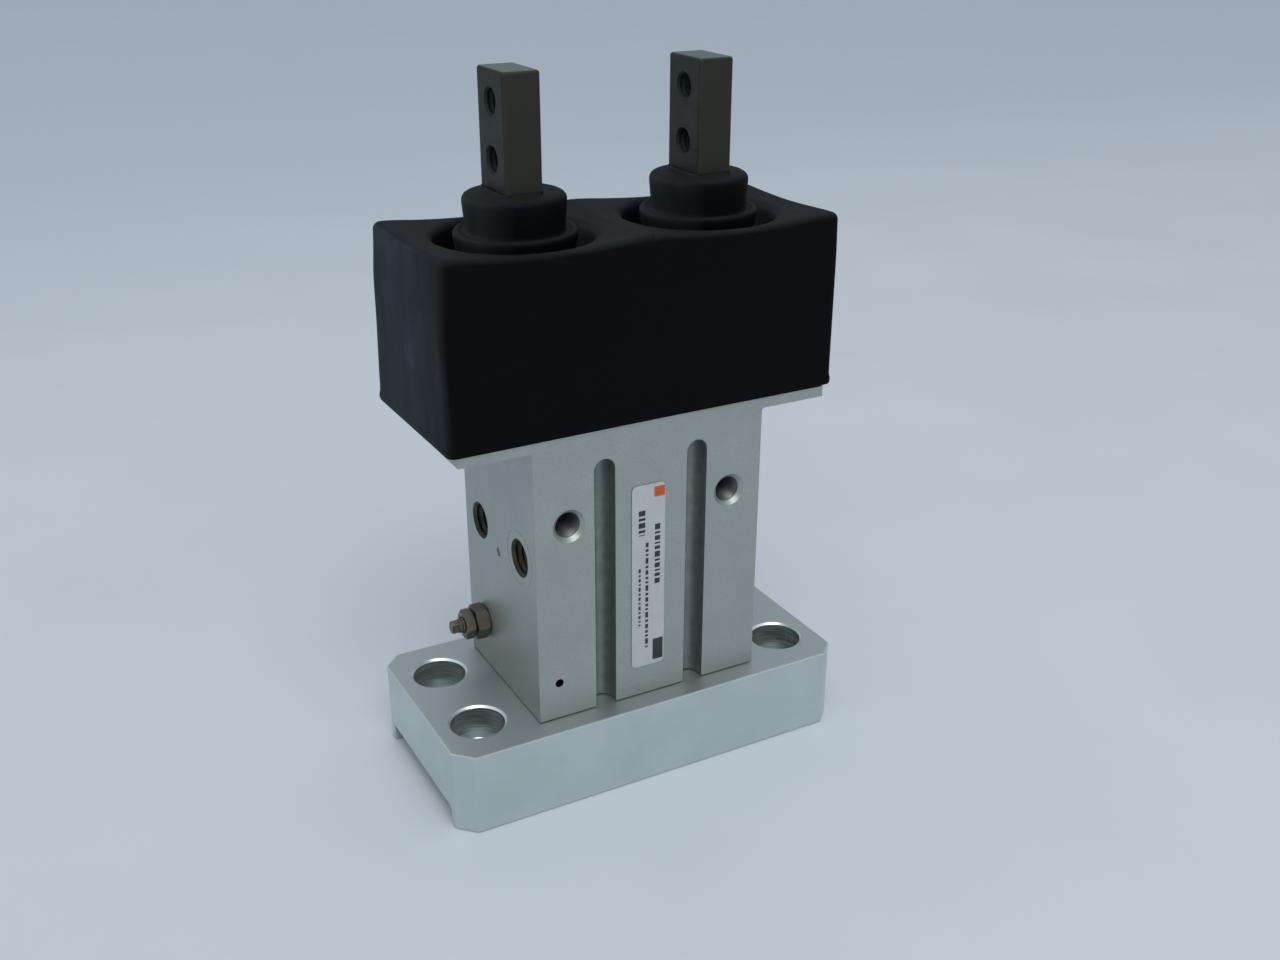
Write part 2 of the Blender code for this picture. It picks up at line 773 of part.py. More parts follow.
def build_cam(moving):
    corner = CAM_CENTRE_Z - (CAM_HALF_WIDTH - cam_side(CAM_CENTRE_Z)) / CAM_SLOPE
    right = [
        (CAM_HALF_WIDTH, CAM_BOTTOM),
        (CAM_HALF_WIDTH, corner),
        (cam_side(CAM_TOP), CAM_TOP),
    ]
    left = [(-x, z) for x, z in reversed(right)]
    cam = extruded("wedge_cam", right + left, CAM_THICKNESS)
    cut(cam, cam_slot("cam_slot_left", -1), cam_slot("cam_slot_right", 1), cam_bore())
    finish(cam, BRIGHT_STEEL, moving)
    cap_screw("cam_screw", M2_5, 0, 0, CAM_SCREW_SEAT, CAM_SCREW_TIP, 1, moving)


def cam_slot(name, side):
    """An obround through the wedge, inclined so that the pins part as the wedge rises."""
    half = STROKE / 2 / math.cos(CAM_ANGLE) + CAM_SLOT_RADIUS + GAP
    deep = CAM_THICKNESS / 2 + OVERRUN
    slot = box(
        name,
        (-CAM_SLOT_RADIUS, -deep, -half),
        (CAM_SLOT_RADIUS, deep, half),
        rounding=CAM_SLOT_RADIUS * 0.99,
        segments=8,
        only_along=1,
    )
    slot.location = (side * CAM_PIN_X, 0.0, CAM_CENTRE_Z)
    slot.rotation_euler = (0.0, -side * CAM_ANGLE, 0.0)
    return slot


def cam_bore():
    shank, head, _ = M2_5
    profile = [
        (0.0, CAM_TOP + OVERRUN),
        (head + GAP, CAM_TOP + OVERRUN),
        (head + GAP, CAM_SCREW_SEAT - GAP),
        (shank + GAP, CAM_SCREW_SEAT - GAP),
        (shank + GAP, ROD_TOP + GAP),
        (ROD_RADIUS + GAP, ROD_TOP + GAP),
        (ROD_RADIUS + GAP, CAM_BOTTOM - OVERRUN),
        (0.0, CAM_BOTTOM - OVERRUN),
    ]
    return turned("cam_bore", profile, sides=SMALL_SIDES)


# ---------------------------------------------------------------- fingers and guides

GUIDE_SCREW_SEAT = BODY_TOP + GAP + 1.2 * MM
GUIDE_SCREW_TIP = 50.0 * MM


def build_finger(label, side, moving):
    left, right = across(side, FINGER_X - FINGER_WIDTH / 2, FINGER_X + FINGER_WIDTH / 2)
    finger = box(
        f"finger_{label}",
        (left, -FINGER_DEPTH / 2, SLIDER_TOP - OVERRUN),
        (right, FINGER_DEPTH / 2, FINGER_TOP),
        rounding=0.3 * MM,
        segments=2,
    )
    left, right = across(side, SLIDER_INNER, SLIDER_OUTER)
    slider = box(
        f"slider_{label}",
        (left, -SLIDER_DEPTH / 2, SLIDER_BOTTOM),
        (right, SLIDER_DEPTH / 2, SLIDER_TOP),
    )
    left, right = across(side, SLIDER_INNER + GAP, SLIDER_OUTER - GAP)
    tongue = box(
        f"tongue_{label}",
        (left, -TONGUE_DEPTH / 2, TONGUE_Z[0]),
        (right, TONGUE_DEPTH / 2, TONGUE_Z[1]),
    )
    join(finger, slider, tongue)
    cut(finger, cam_clearance(label, side))
    pin = (side * CAM_PIN_X, 0.0, CAM_CENTRE_Z)
    deep = SLIDER_DEPTH / 2 + OVERRUN
    cut(finger, cylinder(f"pin_hole_{label}", CAM_PIN_RADIUS + GAP, pin, "Y", -deep, deep))
    for number, z in enumerate(FINGER_HOLES_Z):
        cut(finger, finger_hole(f"finger_hole_{label}_{number + 1}", side, z))
    finish(finger, DARK_STEEL, moving)
    pin_end = SLIDER_DEPTH / 2 - 0.2 * MM
    pin = cylinder(f"cam_pin_{label}", CAM_PIN_RADIUS, pin, "Y", -pin_end, pin_end)
    finish(pin, BRIGHT_STEEL, moving)
    build_boot(label, side, moving)


def cam_clearance(label, side):
    """The space between a slider's two cheeks in which the wedge moves."""
    low, high = SLIDER_BOTTOM - OVERRUN, SLIDER_TOP + 0.5 * MM
    outline = [
        (0.0, low),
        (side * cam_side(low, GAP), low),
        (side * cam_side(high, GAP), high),
        (0.0, high),
    ]
    return extruded(f"cam_clearance_{label}", outline, CAM_THICKNESS + 2 * GAP)


def finger_hole(name, side, z):
    """A tapped hole right through a finger, countersunk on both faces."""
    face = FINGER_WIDTH / 2
    rim = 0.25 * MM
    mouth = FINGER_DRILL + rim
    profile = [
        (0.0, face + OVERRUN),
        (mouth, face + OVERRUN),
        (mouth, face),
        (FINGER_DRILL, face - rim),
        (FINGER_DRILL, rim - face),
        (mouth, -face),
        (mouth, -face - OVERRUN),
        (0.0, -face - OVERRUN),
    ]
    return turned(name, profile, (side * FINGER_X, 0.0, z), "X", sides=SMALL_SIDES)


def build_boot(label, side, moving):
    """A drum with a ring round its foot, and a lip where the finger comes through it."""
    low = SLIDER_TOP + 0.4 * MM
    drum, ring, neck = BOOT_DRUM_RADIUS, BOOT_RING_RADIUS, BOOT_NECK_RADIUS
    profile = [
        (0.0, BOOT_TOP - 0.7 * MM),
        (drum - 1.3 * MM, BOOT_TOP - 0.9 * MM),
        (drum - 0.4 * MM, BOOT_TOP - 1.3 * MM),
        (drum, BOOT_TOP - 1.9 * MM),
        (drum, BOOT_RING_TOP + 0.4 * MM),
        (drum + 0.4 * MM, BOOT_RING_TOP),
        (ring - 0.2 * MM, BOOT_RING_TOP - 0.1 * MM),
        (ring, BOOT_RING_TOP - 0.4 * MM),
        (ring, BOOT_RING_TOP - 0.7 * MM),
        (ring - 0.5 * MM, BOOT_RING_TOP - 1.1 * MM),
        (neck + 0.4 * MM, BOOT_RING_TOP - 1.6 * MM),
        (neck, BOOT_RING_TOP - 2.3 * MM),
        (neck, low),
        (0.0, low),
    ]
    boot = turned(f"boot_{label}", profile, (side * FINGER_X, 0.0, 0.0))
    half_x, half_y = FINGER_WIDTH / 2, FINGER_DEPTH / 2
    left, right = across(side, FINGER_X - half_x - BOOT_LIP, FINGER_X + half_x + BOOT_LIP)
    lip = box(
        f"boot_lip_{label}",
        (left, -half_y - BOOT_LIP, BOOT_TOP - 3 * MM),
        (right, half_y + BOOT_LIP, BOOT_TOP),
        rounding=0.4 * MM,
    )
    join(boot, lip)
    left, right = across(side, FINGER_X - half_x - GAP, FINGER_X + half_x + GAP)
    hole = box(
        f"boot_hole_{label}",
        (left, -half_y - GAP, low - OVERRUN),
        (right, half_y + GAP, BOOT_TOP + OVERRUN),
    )
    cut(boot, hole)
    finish(boot, RUBBER, moving)


def build_guide_rail(name, side):
    """A rail along one long side, with a groove for the sliders' tongues and two feet."""
    low, high = across(side, RAIL_INNER, RAIL_OUTER)
    bottom = BODY_TOP + GAP
    half = RAIL_LENGTH / 2
    rail = box(name, (-half, low, bottom), (half, high, SLIDER_TOP))
    feet = []
    holes = []
    low, high = across(side, FOOT_INNER, RAIL_INNER + OVERRUN)
    for x in (-FOOT_X, FOOT_X):
        near = (x - FOOT_LENGTH / 2, low, bottom)
        far = (x + FOOT_LENGTH / 2, high, bottom + FOOT_HEIGHT)
        feet.append(box(f"{name}_foot_{x:.3f}", near, far))
        holes.append(guide_screw_hole(f"{name}_hole_{x:.3f}", x, side * FOOT_SCREW_Y))
    join(rail, *feet)
    low, high = across(side, RAIL_INNER - OVERRUN, TONGUE_DEPTH / 2 + GAP)
    groove = box(
        f"{name}_groove",
        (-half - OVERRUN, low, TONGUE_Z[0] - GAP),
        (half + OVERRUN, high, TONGUE_Z[1] + GAP),
    )
    cut(rail, groove, *holes)
    finish(rail, BRIGHT_STEEL)


def guide_screw_hole(name, x, y):
    shank, head, head_height = M2_5
    top = GUIDE_SCREW_SEAT + head_height + GAP
    profile = [
        (0.0, top),
        (head + GAP, top),
        (head + GAP, GUIDE_SCREW_SEAT - GAP),
        (shank + GAP, GUIDE_SCREW_SEAT - GAP),
        (shank + GAP, BODY_TOP - OVERRUN),
        (0.0, BODY_TOP - OVERRUN),
    ]
    return turned(name, profile, (x, y, 0.0), sides=SMALL_SIDES)


def build_guide_screws():
    for index, (x, y) in enumerate(corners(FOOT_X, FOOT_SCREW_Y)):
        name = f"guide_screw_{index + 1}"
        cap_screw(name, M2_5, x, y, GUIDE_SCREW_SEAT, GUIDE_SCREW_TIP, up=1)


# ---------------------------------------------------------------- dust cover


def obround(name, x, half_length, half_width, low, high):
    return box(
        name,
        (x - half_length, -half_width, low),
        (x + half_length, half_width, high),
        rounding=half_width * 0.99,
        segments=8,
        only_along=2,
    )


def build_cover():
    """A box of rubber, open below, with a well round each boot in its top."""
    cover = cover_shell()
    travel = FINGER_STROKE / 2 + GAP
    underside = WELL_FLOOR - WELL_FLOOR_THICKNESS
    well_half = max(WELL_RADIUS, BOOT_RING_RADIUS + travel)
    cup_wall = COVER_WALL - 0.2 * MM
    cup_top = COVER_TOP - 0.5 * MM
    for label, side in (("left", -1), ("right", 1)):
        half_length, half_width = well_half + cup_wall, WELL_RADIUS + cup_wall
        x = side * FINGER_X
        join(cover, obround(f"cup_{label}", x, half_length, half_width, underside, cup_top))
    for label, side in (("left", -1), ("right", 1)):
        x = side * FINGER_X
        top = COVER_TOP + OVERRUN
        well = obround(f"well_{label}", x, well_half, WELL_RADIUS, WELL_FLOOR, top)
        neck = BOOT_NECK_RADIUS
        ends = (underside - OVERRUN, WELL_FLOOR + OVERRUN)
        opening = obround(f"neck_opening_{label}", x, neck + travel, neck + GAP, *ends)
        cut(cover, well, opening)
    finish(cover, RUBBER)


def cover_shell():
    bottom = BODY_TOP + GAP
    half_x, half_y = COVER_LENGTH / 2, COVER_DEPTH / 2
    skirt = bottom - 2 * COVER_EDGE
    cover = box(
        "dust_cover",
        (-half_x, -half_y, skirt),
        (half_x, half_y, COVER_TOP),
        rounding=COVER_EDGE,
        segments=2,
    )
    trim = box(
        "cover_trim",
        (-half_x - OVERRUN, -half_y - OVERRUN, skirt - OVERRUN),
        (half_x + OVERRUN, half_y + OVERRUN, bottom),
    )
    inside = box(
        "cover_inside",
        (COVER_WALL - half_x, COVER_WALL - half_y, bottom - 2 * OVERRUN),
        (half_x - COVER_WALL, half_y - COVER_WALL, COVER_TOP - COVER_WALL),
    )
    cut(cover, trim, inside)
    return cover


# ---------------------------------------------------------------- flow needle

HOLDER_LENGTH = 1.9 * MM
HOLDER_FLATS = 4.8 * MM
NUT_LENGTH = 1.3 * MM
NUT_FLATS = 4.1 * MM
NEEDLE_RADIUS = 1.15 * MM
NEEDLE_TIP = -23.9 * MM
NEEDLE_POINT = (0.45 * MM, 1.6 * MM)
NEEDLE_FLATS = 1.6 * MM
NEEDLE_FLAT_LENGTH = 1.0 * MM


def build_needle(turning):
    face = -BODY_WIDTH / 2 - GAP
    centre = (0.0, NEEDLE_Y, NEEDLE_Z)
    bore = NEEDLE_RADIUS + GAP
    outer = face - HOLDER_LENGTH
    holder = hexagon("needle_holder", HOLDER_FLATS, centre, "X", outer, face)
    thread_radius = M5_DRILL - GAP
    thread_end = PASSAGE_X - 2.0 * MM
    stem = cylinder("needle_holder_thread", thread_radius, centre, "X", face - OVERRUN, thread_end)
    join(holder, stem)
    hole = cylinder("needle_holder_hole", bore, centre, "X", outer - OVERRUN, thread_end + OVERRUN)
    cut(holder, hole)
    finish(holder, BRONZE)
    nut_face = outer - GAP
    nut = hexagon("needle_lock_nut", NUT_FLATS, centre, "X", nut_face - NUT_LENGTH, nut_face)
    ends = (nut_face - NUT_LENGTH - OVERRUN, nut_face + OVERRUN)
    cut(nut, cylinder("lock_nut_hole", bore, centre, "X", *ends))
    finish(nut, BRONZE)
    tip = NEEDLE_TIP - PASSAGE_X
    profile = [
        (0.0, 0.0),
        (NEEDLE_POINT[0], 0.0),
        (NEEDLE_RADIUS, -NEEDLE_POINT[1]),
        (NEEDLE_RADIUS, tip),
        (0.0, tip),
    ]
    needle = turned("needle", profile, (PASSAGE_X, NEEDLE_Y, NEEDLE_Z), "X", sides=SMALL_SIDES)
    reach = 3.0 * MM
    for number, sign in enumerate((-1, 1)):
        low, high = across(sign, NEEDLE_FLATS / 2, reach)
        flat = box(
            f"needle_flat_{number + 1}",
            (NEEDLE_TIP - OVERRUN, NEEDLE_Y + low, NEEDLE_Z - reach),
            (NEEDLE_TIP + NEEDLE_FLAT_LENGTH, NEEDLE_Y + high, NEEDLE_Z + reach),
        )
        cut(needle, flat)
    finish(needle, BRONZE, turning)


def main():
    piston_carriage = carriage("piston_carriage")
    left_carriage = carriage("finger_left_carriage")
    right_carriage = carriage("finger_right_carriage")
    needle_carriage = carriage("needle_carriage")
    build_plate()
    build_plate_screws()
    build_body()
    build_label()
    build_cylinder_end()
    build_bumpers()
    build_piston(piston_carriage)
    build_rod_guide()
    build_cam(piston_carriage)
    build_guide_rail("guide_rail_front", -1)
    build_guide_rail("guide_rail_rear", 1)
    build_guide_screws()
    build_finger("left", -1, left_carriage)
    build_finger("right", 1, right_carriage)
    build_cover()
    build_needle(needle_carriage)


main()
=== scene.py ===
"""The looks of a two-finger parallel gripper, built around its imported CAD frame.

Lengths are in metres in the CAD's own frame: +Z is up, X is the way the fingers open, and
the origin is under the middle of the plate. MM turns a size in millimetres into metres.
"""

import math

import bmesh
import bpy
from mathutils import Matrix, Vector


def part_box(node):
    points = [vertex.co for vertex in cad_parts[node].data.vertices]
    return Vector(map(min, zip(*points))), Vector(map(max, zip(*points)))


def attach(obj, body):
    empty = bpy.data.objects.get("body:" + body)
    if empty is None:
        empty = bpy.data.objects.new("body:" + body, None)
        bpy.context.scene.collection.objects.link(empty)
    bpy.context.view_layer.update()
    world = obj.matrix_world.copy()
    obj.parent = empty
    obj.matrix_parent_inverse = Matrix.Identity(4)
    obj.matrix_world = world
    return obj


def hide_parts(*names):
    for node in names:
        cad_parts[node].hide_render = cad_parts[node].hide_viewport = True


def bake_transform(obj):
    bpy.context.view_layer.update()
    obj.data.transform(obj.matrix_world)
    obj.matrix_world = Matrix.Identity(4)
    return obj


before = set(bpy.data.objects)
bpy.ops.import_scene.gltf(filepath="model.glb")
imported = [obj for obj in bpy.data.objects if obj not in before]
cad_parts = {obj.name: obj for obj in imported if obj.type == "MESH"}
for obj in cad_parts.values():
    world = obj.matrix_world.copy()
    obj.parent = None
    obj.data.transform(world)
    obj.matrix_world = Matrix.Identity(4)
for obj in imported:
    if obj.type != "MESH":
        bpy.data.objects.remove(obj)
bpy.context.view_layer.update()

MM = 0.001
GAP = 0.3 * MM  # room round the parts that are kept from the frame
OVERRUN = 1.0 * MM  # how far a cutter passes the face that it opens
MERGE = 0.001 * MM  # points nearer than this are one point
ROUND = 96  # sides of a large turned shape
SMALL = 48  # sides of a small one
SIDES = {"left": -1, "right": 1}

# Adapter plate
PLATE_CORNER = 2.6 * MM
PLATE_EDGE = 0.35 * MM
CHANNEL_HALF = 12.0 * MM
CHANNEL_HEIGHT = 2.8 * MM
MOUNT_HOLE = (26.0 * MM, 7.6 * MM)
MOUNT_HOLE_RADIUS = 2.25 * MM
MOUNT_HEAD_RADIUS = 4.0 * MM
MOUNT_HEAD_DEPTH = 4.5 * MM
MOUNT_RIM = 0.3 * MM
PLATE_SCREW_RADIUS = 1.5 * MM
PLATE_SCREW_HEAD_HEIGHT = 3.0 * MM

# Body
BODY_HALF = 18.2 * MM
BODY_DEPTH_HALF = 12.6 * MM
BODY_EDGE = 0.22 * MM
BODY_FOOT = 0.12 * MM  # how far the body's foot goes on down to the plate
FLANGE_THICKNESS = 1.6 * MM
FLANGE_FILLET = 0.35 * MM
SLOT_X = 7.4 * MM
SLOT_WIDTH = 3.3 * MM
SLOT_DEPTH = 3.0 * MM
SLOT_TOP = 52.7 * MM
TAPPED_X = 12.95 * MM
TAPPED_Z = 43.7 * MM
TAPPED_DEPTH = 7.0 * MM
VENT_X = -15.0 * MM
VENT_Z = 19.0 * MM
VENT_RADIUS = 0.65 * MM
VENT_DEPTH = 2.4 * MM
PORT_Y = 7.1 * MM
PORT_Z = 37.6 * MM
PASSAGE_RADIUS = 1.1 * MM
PASSAGE_X = -11.9 * MM
PASSAGE_LENGTH = 9.0 * MM
GUIDE_SCREW_RADIUS = 1.25 * MM

# Flow needle
NEEDLE_Y = 6.96 * MM
NEEDLE_Z = 20.7 * MM
HOLDER_STEM_RADIUS = 1.9 * MM

# Label. A column of print is (middle, width, upper end, lower end, bar lengths in millimetres)
LABEL_CORNER = 0.75 * MM
INK_THICKNESS = 0.02 * MM
PRINT_GAP = 0.35 * MM
PRINT_COLUMNS = [
    (0.95 * MM, 0.85 * MM, 41.1 * MM, 31.5 * MM, (0.9, 0.3, 0.7, 0.25, 0.5)),
    (-0.75 * MM, 0.45 * MM, 38.4 * MM, 21.1 * MM, (0.7, 0.4, 0.3, 0.9, 0.4)),
    (-1.95 * MM, 0.35 * MM, 34.4 * MM, 25.0 * MM, (0.6, 0.3, 0.5, 0.25)),
    (-1.60 * MM, 1.05 * MM, 43.6 * MM, 39.7 * MM, (0.8, 0.4)),
]

# Threads: (drill radius, mouth radius, pitch)
FINGER_THREAD = (1.6 * MM, 1.9 * MM, 0.7 * MM)
M4_THREAD = (1.9 * MM, 2.5 * MM, 0.7 * MM)
M5_THREAD = (2.4 * MM, 2.85 * MM, 0.8 * MM)

# Fingers
FINGER_X = 14.3 * MM
FINGER_HALF = (2.65 * MM, 4.15 * MM)
FINGER_EDGE = 0.45 * MM
FINGER_HOLES_Z = (91.9 * MM, 99.3 * MM)
SLIDER_HALF_DEPTH = 7.8 * MM
SLIDER_TOP = 76.0 * MM
TONGUE_Z = (69.0 * MM, 72.0 * MM)

# Wedge: its slots' slope is the finger's travel over the piston's
CAM_SLOPE = 6.0 / 7.0
CAM_PIN_X = 9.0 * MM
CAM_PIN_RADIUS = 1.7 * MM
CAM_WALL = 1.6 * MM

# Rubber cover. Its crest is (middle, reach, height)
COVER_HALF_LENGTH = 30.2 * MM
COVER_HALF_DEPTH = 12.9 * MM
COVER_WALL = 1.4 * MM
COVER_CORNER = 1.2 * MM
COVER_EDGE = 1.1 * MM
COVER_RIM = 1.3 * MM
COVER_SPLIT = 76.0 * MM
COVER_LEVEL = 81.95 * MM
COVER_RISE = 0.75 * MM
COVER_RISE_REACH = 8.5 * MM
COVER_LEAN = 0.15 * MM
COVER_CREST = (3.0 * MM, 14.0 * MM, 0.2 * MM)
COVER_TILT = -0.2 * MM
WELL_RADIUS = 10.8 * MM
WELL_CORNER = 1.1 * MM
WELL_FLOOR = 77.8 * MM
WELL_FLOOR_THICKNESS = 1.2 * MM
NECK_RADIUS = 6.0 * MM

# Wear of the cover's walls
LEFT_PINCH = 0.45 * MM
LEFT_TWIST = 0.3 * MM
RIGHT_SWELL = 0.12 * MM
RIGHT_FLARE = 0.15 * MM
RIM_FLARE = 0.14 * MM
FRONT_HANG = 0.35 * MM
SIDE_HOLLOW = 0.12 * MM

# Rubber boots, in millimetres: a drum of (radius, height), and a lip of (distance from the
# finger, power of its oval, height)
BOOT_LEAN = {"left": 0.3 * MM, "right": 0.0}
BOOT_SEAT = 78.6 * MM
BOOT_DRUM = [
    (6.10, 78.85), (6.50, 79.00), (7.20, 79.12), (7.70, 79.30), (7.96, 79.70), (8.08, 80.30),
    (8.20, 81.00), (8.32, 81.60), (8.38, 82.05), (8.34, 82.40), (8.16, 82.64), (7.88, 82.74),
    (7.60, 82.66), (7.38, 82.50), (7.15, 82.40), (6.92, 82.44), (6.80, 82.62), (6.74, 83.00),
    (6.76, 83.80), (6.84, 84.80), (6.93, 85.80), (6.98, 86.35), (6.97, 86.72), (6.88, 87.03),
    (6.68, 87.29), (6.36, 87.48), (5.90, 87.60), (5.40, 87.68),
]
BOOT_LIP = [
    (1.00, 2.6, 87.72), (0.75, 3.2, 87.79), (0.55, 4.0, 87.90), (0.42, 5.0, 88.00),
    (0.28, 7.0, 88.05), (0.14, 9.0, 88.01), (0.06, 12.0, 87.86),
]

# Camera
CAMERA_PLACE = (-87.55 * MM, -168.17 * MM, 127.18 * MM)
CAMERA_AZIMUTH = -28.852
CAMERA_ELEVATION = 24.892
CAMERA_ROLL = 0.234
CAMERA_LENS = 39.043
CAMERA_SENSOR = 36.0
CAMERA_SHIFT = 0.0184


# -------- meshes


def add_piece(name, shape):
    """An object made of a bmesh, with its faces turned outwards."""
    bmesh.ops.remove_doubles(shape, verts=shape.verts, dist=MERGE)
    bmesh.ops.recalc_face_normals(shape, faces=shape.faces)
    mesh = bpy.data.meshes.new(name)
    shape.to_mesh(mesh)
    shape.free()
    obj = bpy.data.objects.new(name, mesh)
    bpy.context.scene.collection.objects.link(obj)
    return obj


def loft(name, rings, closed=False, caps=False):
    """Joins rings of points into a surface. A ring of one point ends it in a pole, closed
    joins the last ring to the first, and caps fills the first and the last ring."""
    shape = bmesh.new()
    loops = [[shape.verts.new(point) for point in ring] for ring in rings]
    if caps:
        shape.faces.new(loops[0])
        shape.faces.new(loops[-1])
    if closed:
        loops.append(loops[0])
    for a, b in zip(loops, loops[1:]):
        for k in range(max(len(a), len(b))):
            face = [a[k % len(a)], a[(k + 1) % len(a)], b[(k + 1) % len(b)], b[k % len(b)]]
            face = list(dict.fromkeys(face))
            if len(face) > 2:
                shape.faces.new(face)
    return add_piece(name, shape)


def block(name, low, high, rounding=0.0, segments=1, along=None):
    """A box between two corners. rounding is cut off every edge, or off those along one axis."""
    size = [b - a for a, b in zip(low, high)]
    centre = Vector([(a + b) / 2 for a, b in zip(low, high)])
    shape = bmesh.new()
    place = Matrix.Translation(centre) @ Matrix.Diagonal((*size, 1.0))
    bmesh.ops.create_cube(shape, size=1.0, matrix=place)
    if rounding:
        edges = [edge for edge in shape.edges if along is None or runs_along(edge, along)]
        bmesh.ops.bevel(
            shape, geom=edges, offset=rounding, segments=segments, profile=0.5, affect="EDGES"
        )
    return add_piece(name, shape)


def runs_along(edge, axis):
    direction = (edge.verts[1].co - edge.verts[0].co).normalized()
    return abs(direction[axis]) > 0.99


def prism(name, outline, low, high, axis):
    """An outline of two coordinates, drawn out along the third, from low to high."""
    ends = [[lift(point, axis, end) for point in outline] for end in (low, high)]
    return loft(name, ends, caps=True)


def lift(point, axis, height):
    placed = list(point)
    placed.insert(axis, height)
    return placed


def turned(name, profile, centre=(0, 0, 0), direction=(0, 0, 1), sides=ROUND, closed=False):
    """Turns a profile of (radius, distance) points round the line through centre."""
    turn = Vector((0, 0, 1)).rotation_difference(Vector(direction))
    rings = []
    for radius, along in profile:
        count = sides if radius > 0 else 1
        angles = [2 * math.pi * k / count for k in range(count)]
        points = [(radius * math.cos(a), radius * math.sin(a), along) for a in angles]
        rings.append([Vector(centre) + turn @ Vector(point) for point in points])
    return loft(name, rings, closed)


def stepped(*steps):
    """The profile of a solid made of cylinders, each a (radius, start, end)."""
    points = [(radius, along) for radius, *ends in steps for along in ends]
    return [(0.0, points[0][1]), *points, (0.0, points[-1][1])]


def rod(name, radius, start, end, centre=(0, 0, 0), direction=(0, 0, 1), sides=SMALL):
    """A solid cylinder between two distances along the line through centre."""
    return turned(name, stepped((radius, start, end)), centre, direction, sides)


def hexagon_radius(across_flats):
    return across_flats / 2 / math.cos(math.pi / 6)


def hexagon_outline(across_flats, centre):
    radius = hexagon_radius(across_flats)
    angles = [math.pi / 3 * k for k in range(6)]
    return [(centre[0] + radius * math.cos(a), centre[1] + radius * math.sin(a)) for a in angles]


def settle(obj):
    """Turns an object's modifiers into its mesh."""
    graph = bpy.context.evaluated_depsgraph_get()
    mesh = bpy.data.meshes.new_from_object(obj.evaluated_get(graph))
    old = obj.data
    obj.modifiers.clear()
    obj.data = mesh
    bpy.data.meshes.remove(old)


def combine(target, operation, *others):
    """Cuts the other solids from the target, joins them to it or keeps what they share."""
    tools = bpy.data.collections.new("tools")
    for other in others:
        tools.objects.link(other)
    modifier = target.modifiers.new("combine", "BOOLEAN")
    modifier.operation = operation
    modifier.operand_type = "COLLECTION"
    modifier.collection = tools
    modifier.solver = "EXACT"
    settle(target)
    bpy.data.collections.remove(tools)
    for other in others:
        bpy.data.objects.remove(other, do_unlink=True)
    return target


def cut(target, *tools):
    return combine(target, "DIFFERENCE", *tools)


def soften(obj, width, segments=2, angle=40):
    bevel = obj.modifiers.new("edges", "BEVEL")
    bevel.width = width
    bevel.segments = segments
    bevel.limit_method = "ANGLE"
    bevel.angle_limit = math.radians(angle)
    bevel.miter_outer = "MITER_ARC"
    settle(obj)


def edit_mesh(obj, change):
    """Runs a function on an object's mesh."""
    shape = bmesh.new()
    shape.from_mesh(obj.data)
    change(shape)
    shape.to_mesh(obj.data)
    shape.free()


def clean(shape):
    """Removes double points and the faces without area that cutting leaves."""
    bmesh.ops.remove_doubles(shape, verts=shape.verts, dist=MERGE)
    bmesh.ops.dissolve_degenerate(shape, edges=shape.edges, dist=MERGE)


def close_ends(shape):
    """Fills each open end of a surface with one flat face."""
    bmesh.ops.holes_fill(shape, edges=[edge for edge in shape.edges if edge.is_boundary])
    bmesh.ops.recalc_face_normals(shape, faces=shape.faces)


def keep_beyond(shape, x, direction):
    """Cuts a solid off at a plane across X, and closes the cut."""
    bmesh.ops.bisect_plane(
        shape,
        geom=shape.verts[:] + shape.edges[:] + shape.faces[:],
        plane_co=(x, 0, 0),
        plane_no=(direction, 0, 0),
        clear_inner=True,
    )
    close_ends(shape)


def shade(obj, angle=35):
    """Shades an object smooth, but for the edges that are sharper than an angle."""
    edit_mesh(obj, clean)
    obj.data.shade_smooth()
    obj.data.set_sharp_from_angle(angle=math.radians(angle))
    weighted = obj.modifiers.new("normals", "WEIGHTED_NORMAL")
    weighted.keep_sharp = True
    settle(obj)


def stand_in(obj, look, body, slot, *nodes):
    """Gives a new piece its material and its CAD body, and hides the CAD nodes that it stands for."""
    obj.data.materials.clear()
    obj.data.materials.append(look)
    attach(obj, body)
    if nodes:
        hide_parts(*nodes)
    return obj


def paint_faces(obj, look, chosen):
    """Gives another material to the faces whose centre is chosen."""
    obj.data.materials.append(look)
    index = len(obj.data.materials) - 1
    for face in obj.data.polygons:
        if chosen(face.center):
            face.material_index = index


# -------- places taken from the frame


def middle(node):
    low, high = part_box(node)
    return (low + high) / 2


def outer_radius(node):
    """Half the width of a round node that stands along Z."""
    low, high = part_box(node)
    return (high.x - low.x) / 2


def bottom(node):
    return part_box(node)[0].z


def top(node):
    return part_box(node)[1].z


def corners(x, y):
    return [(-x, -y), (x, -y), (-x, y), (x, y)]


def across(side, a, b):
    """The low and the high of two distances from the centre, on one side of it."""
    return sorted((side * a, side * b))


# -------- materials


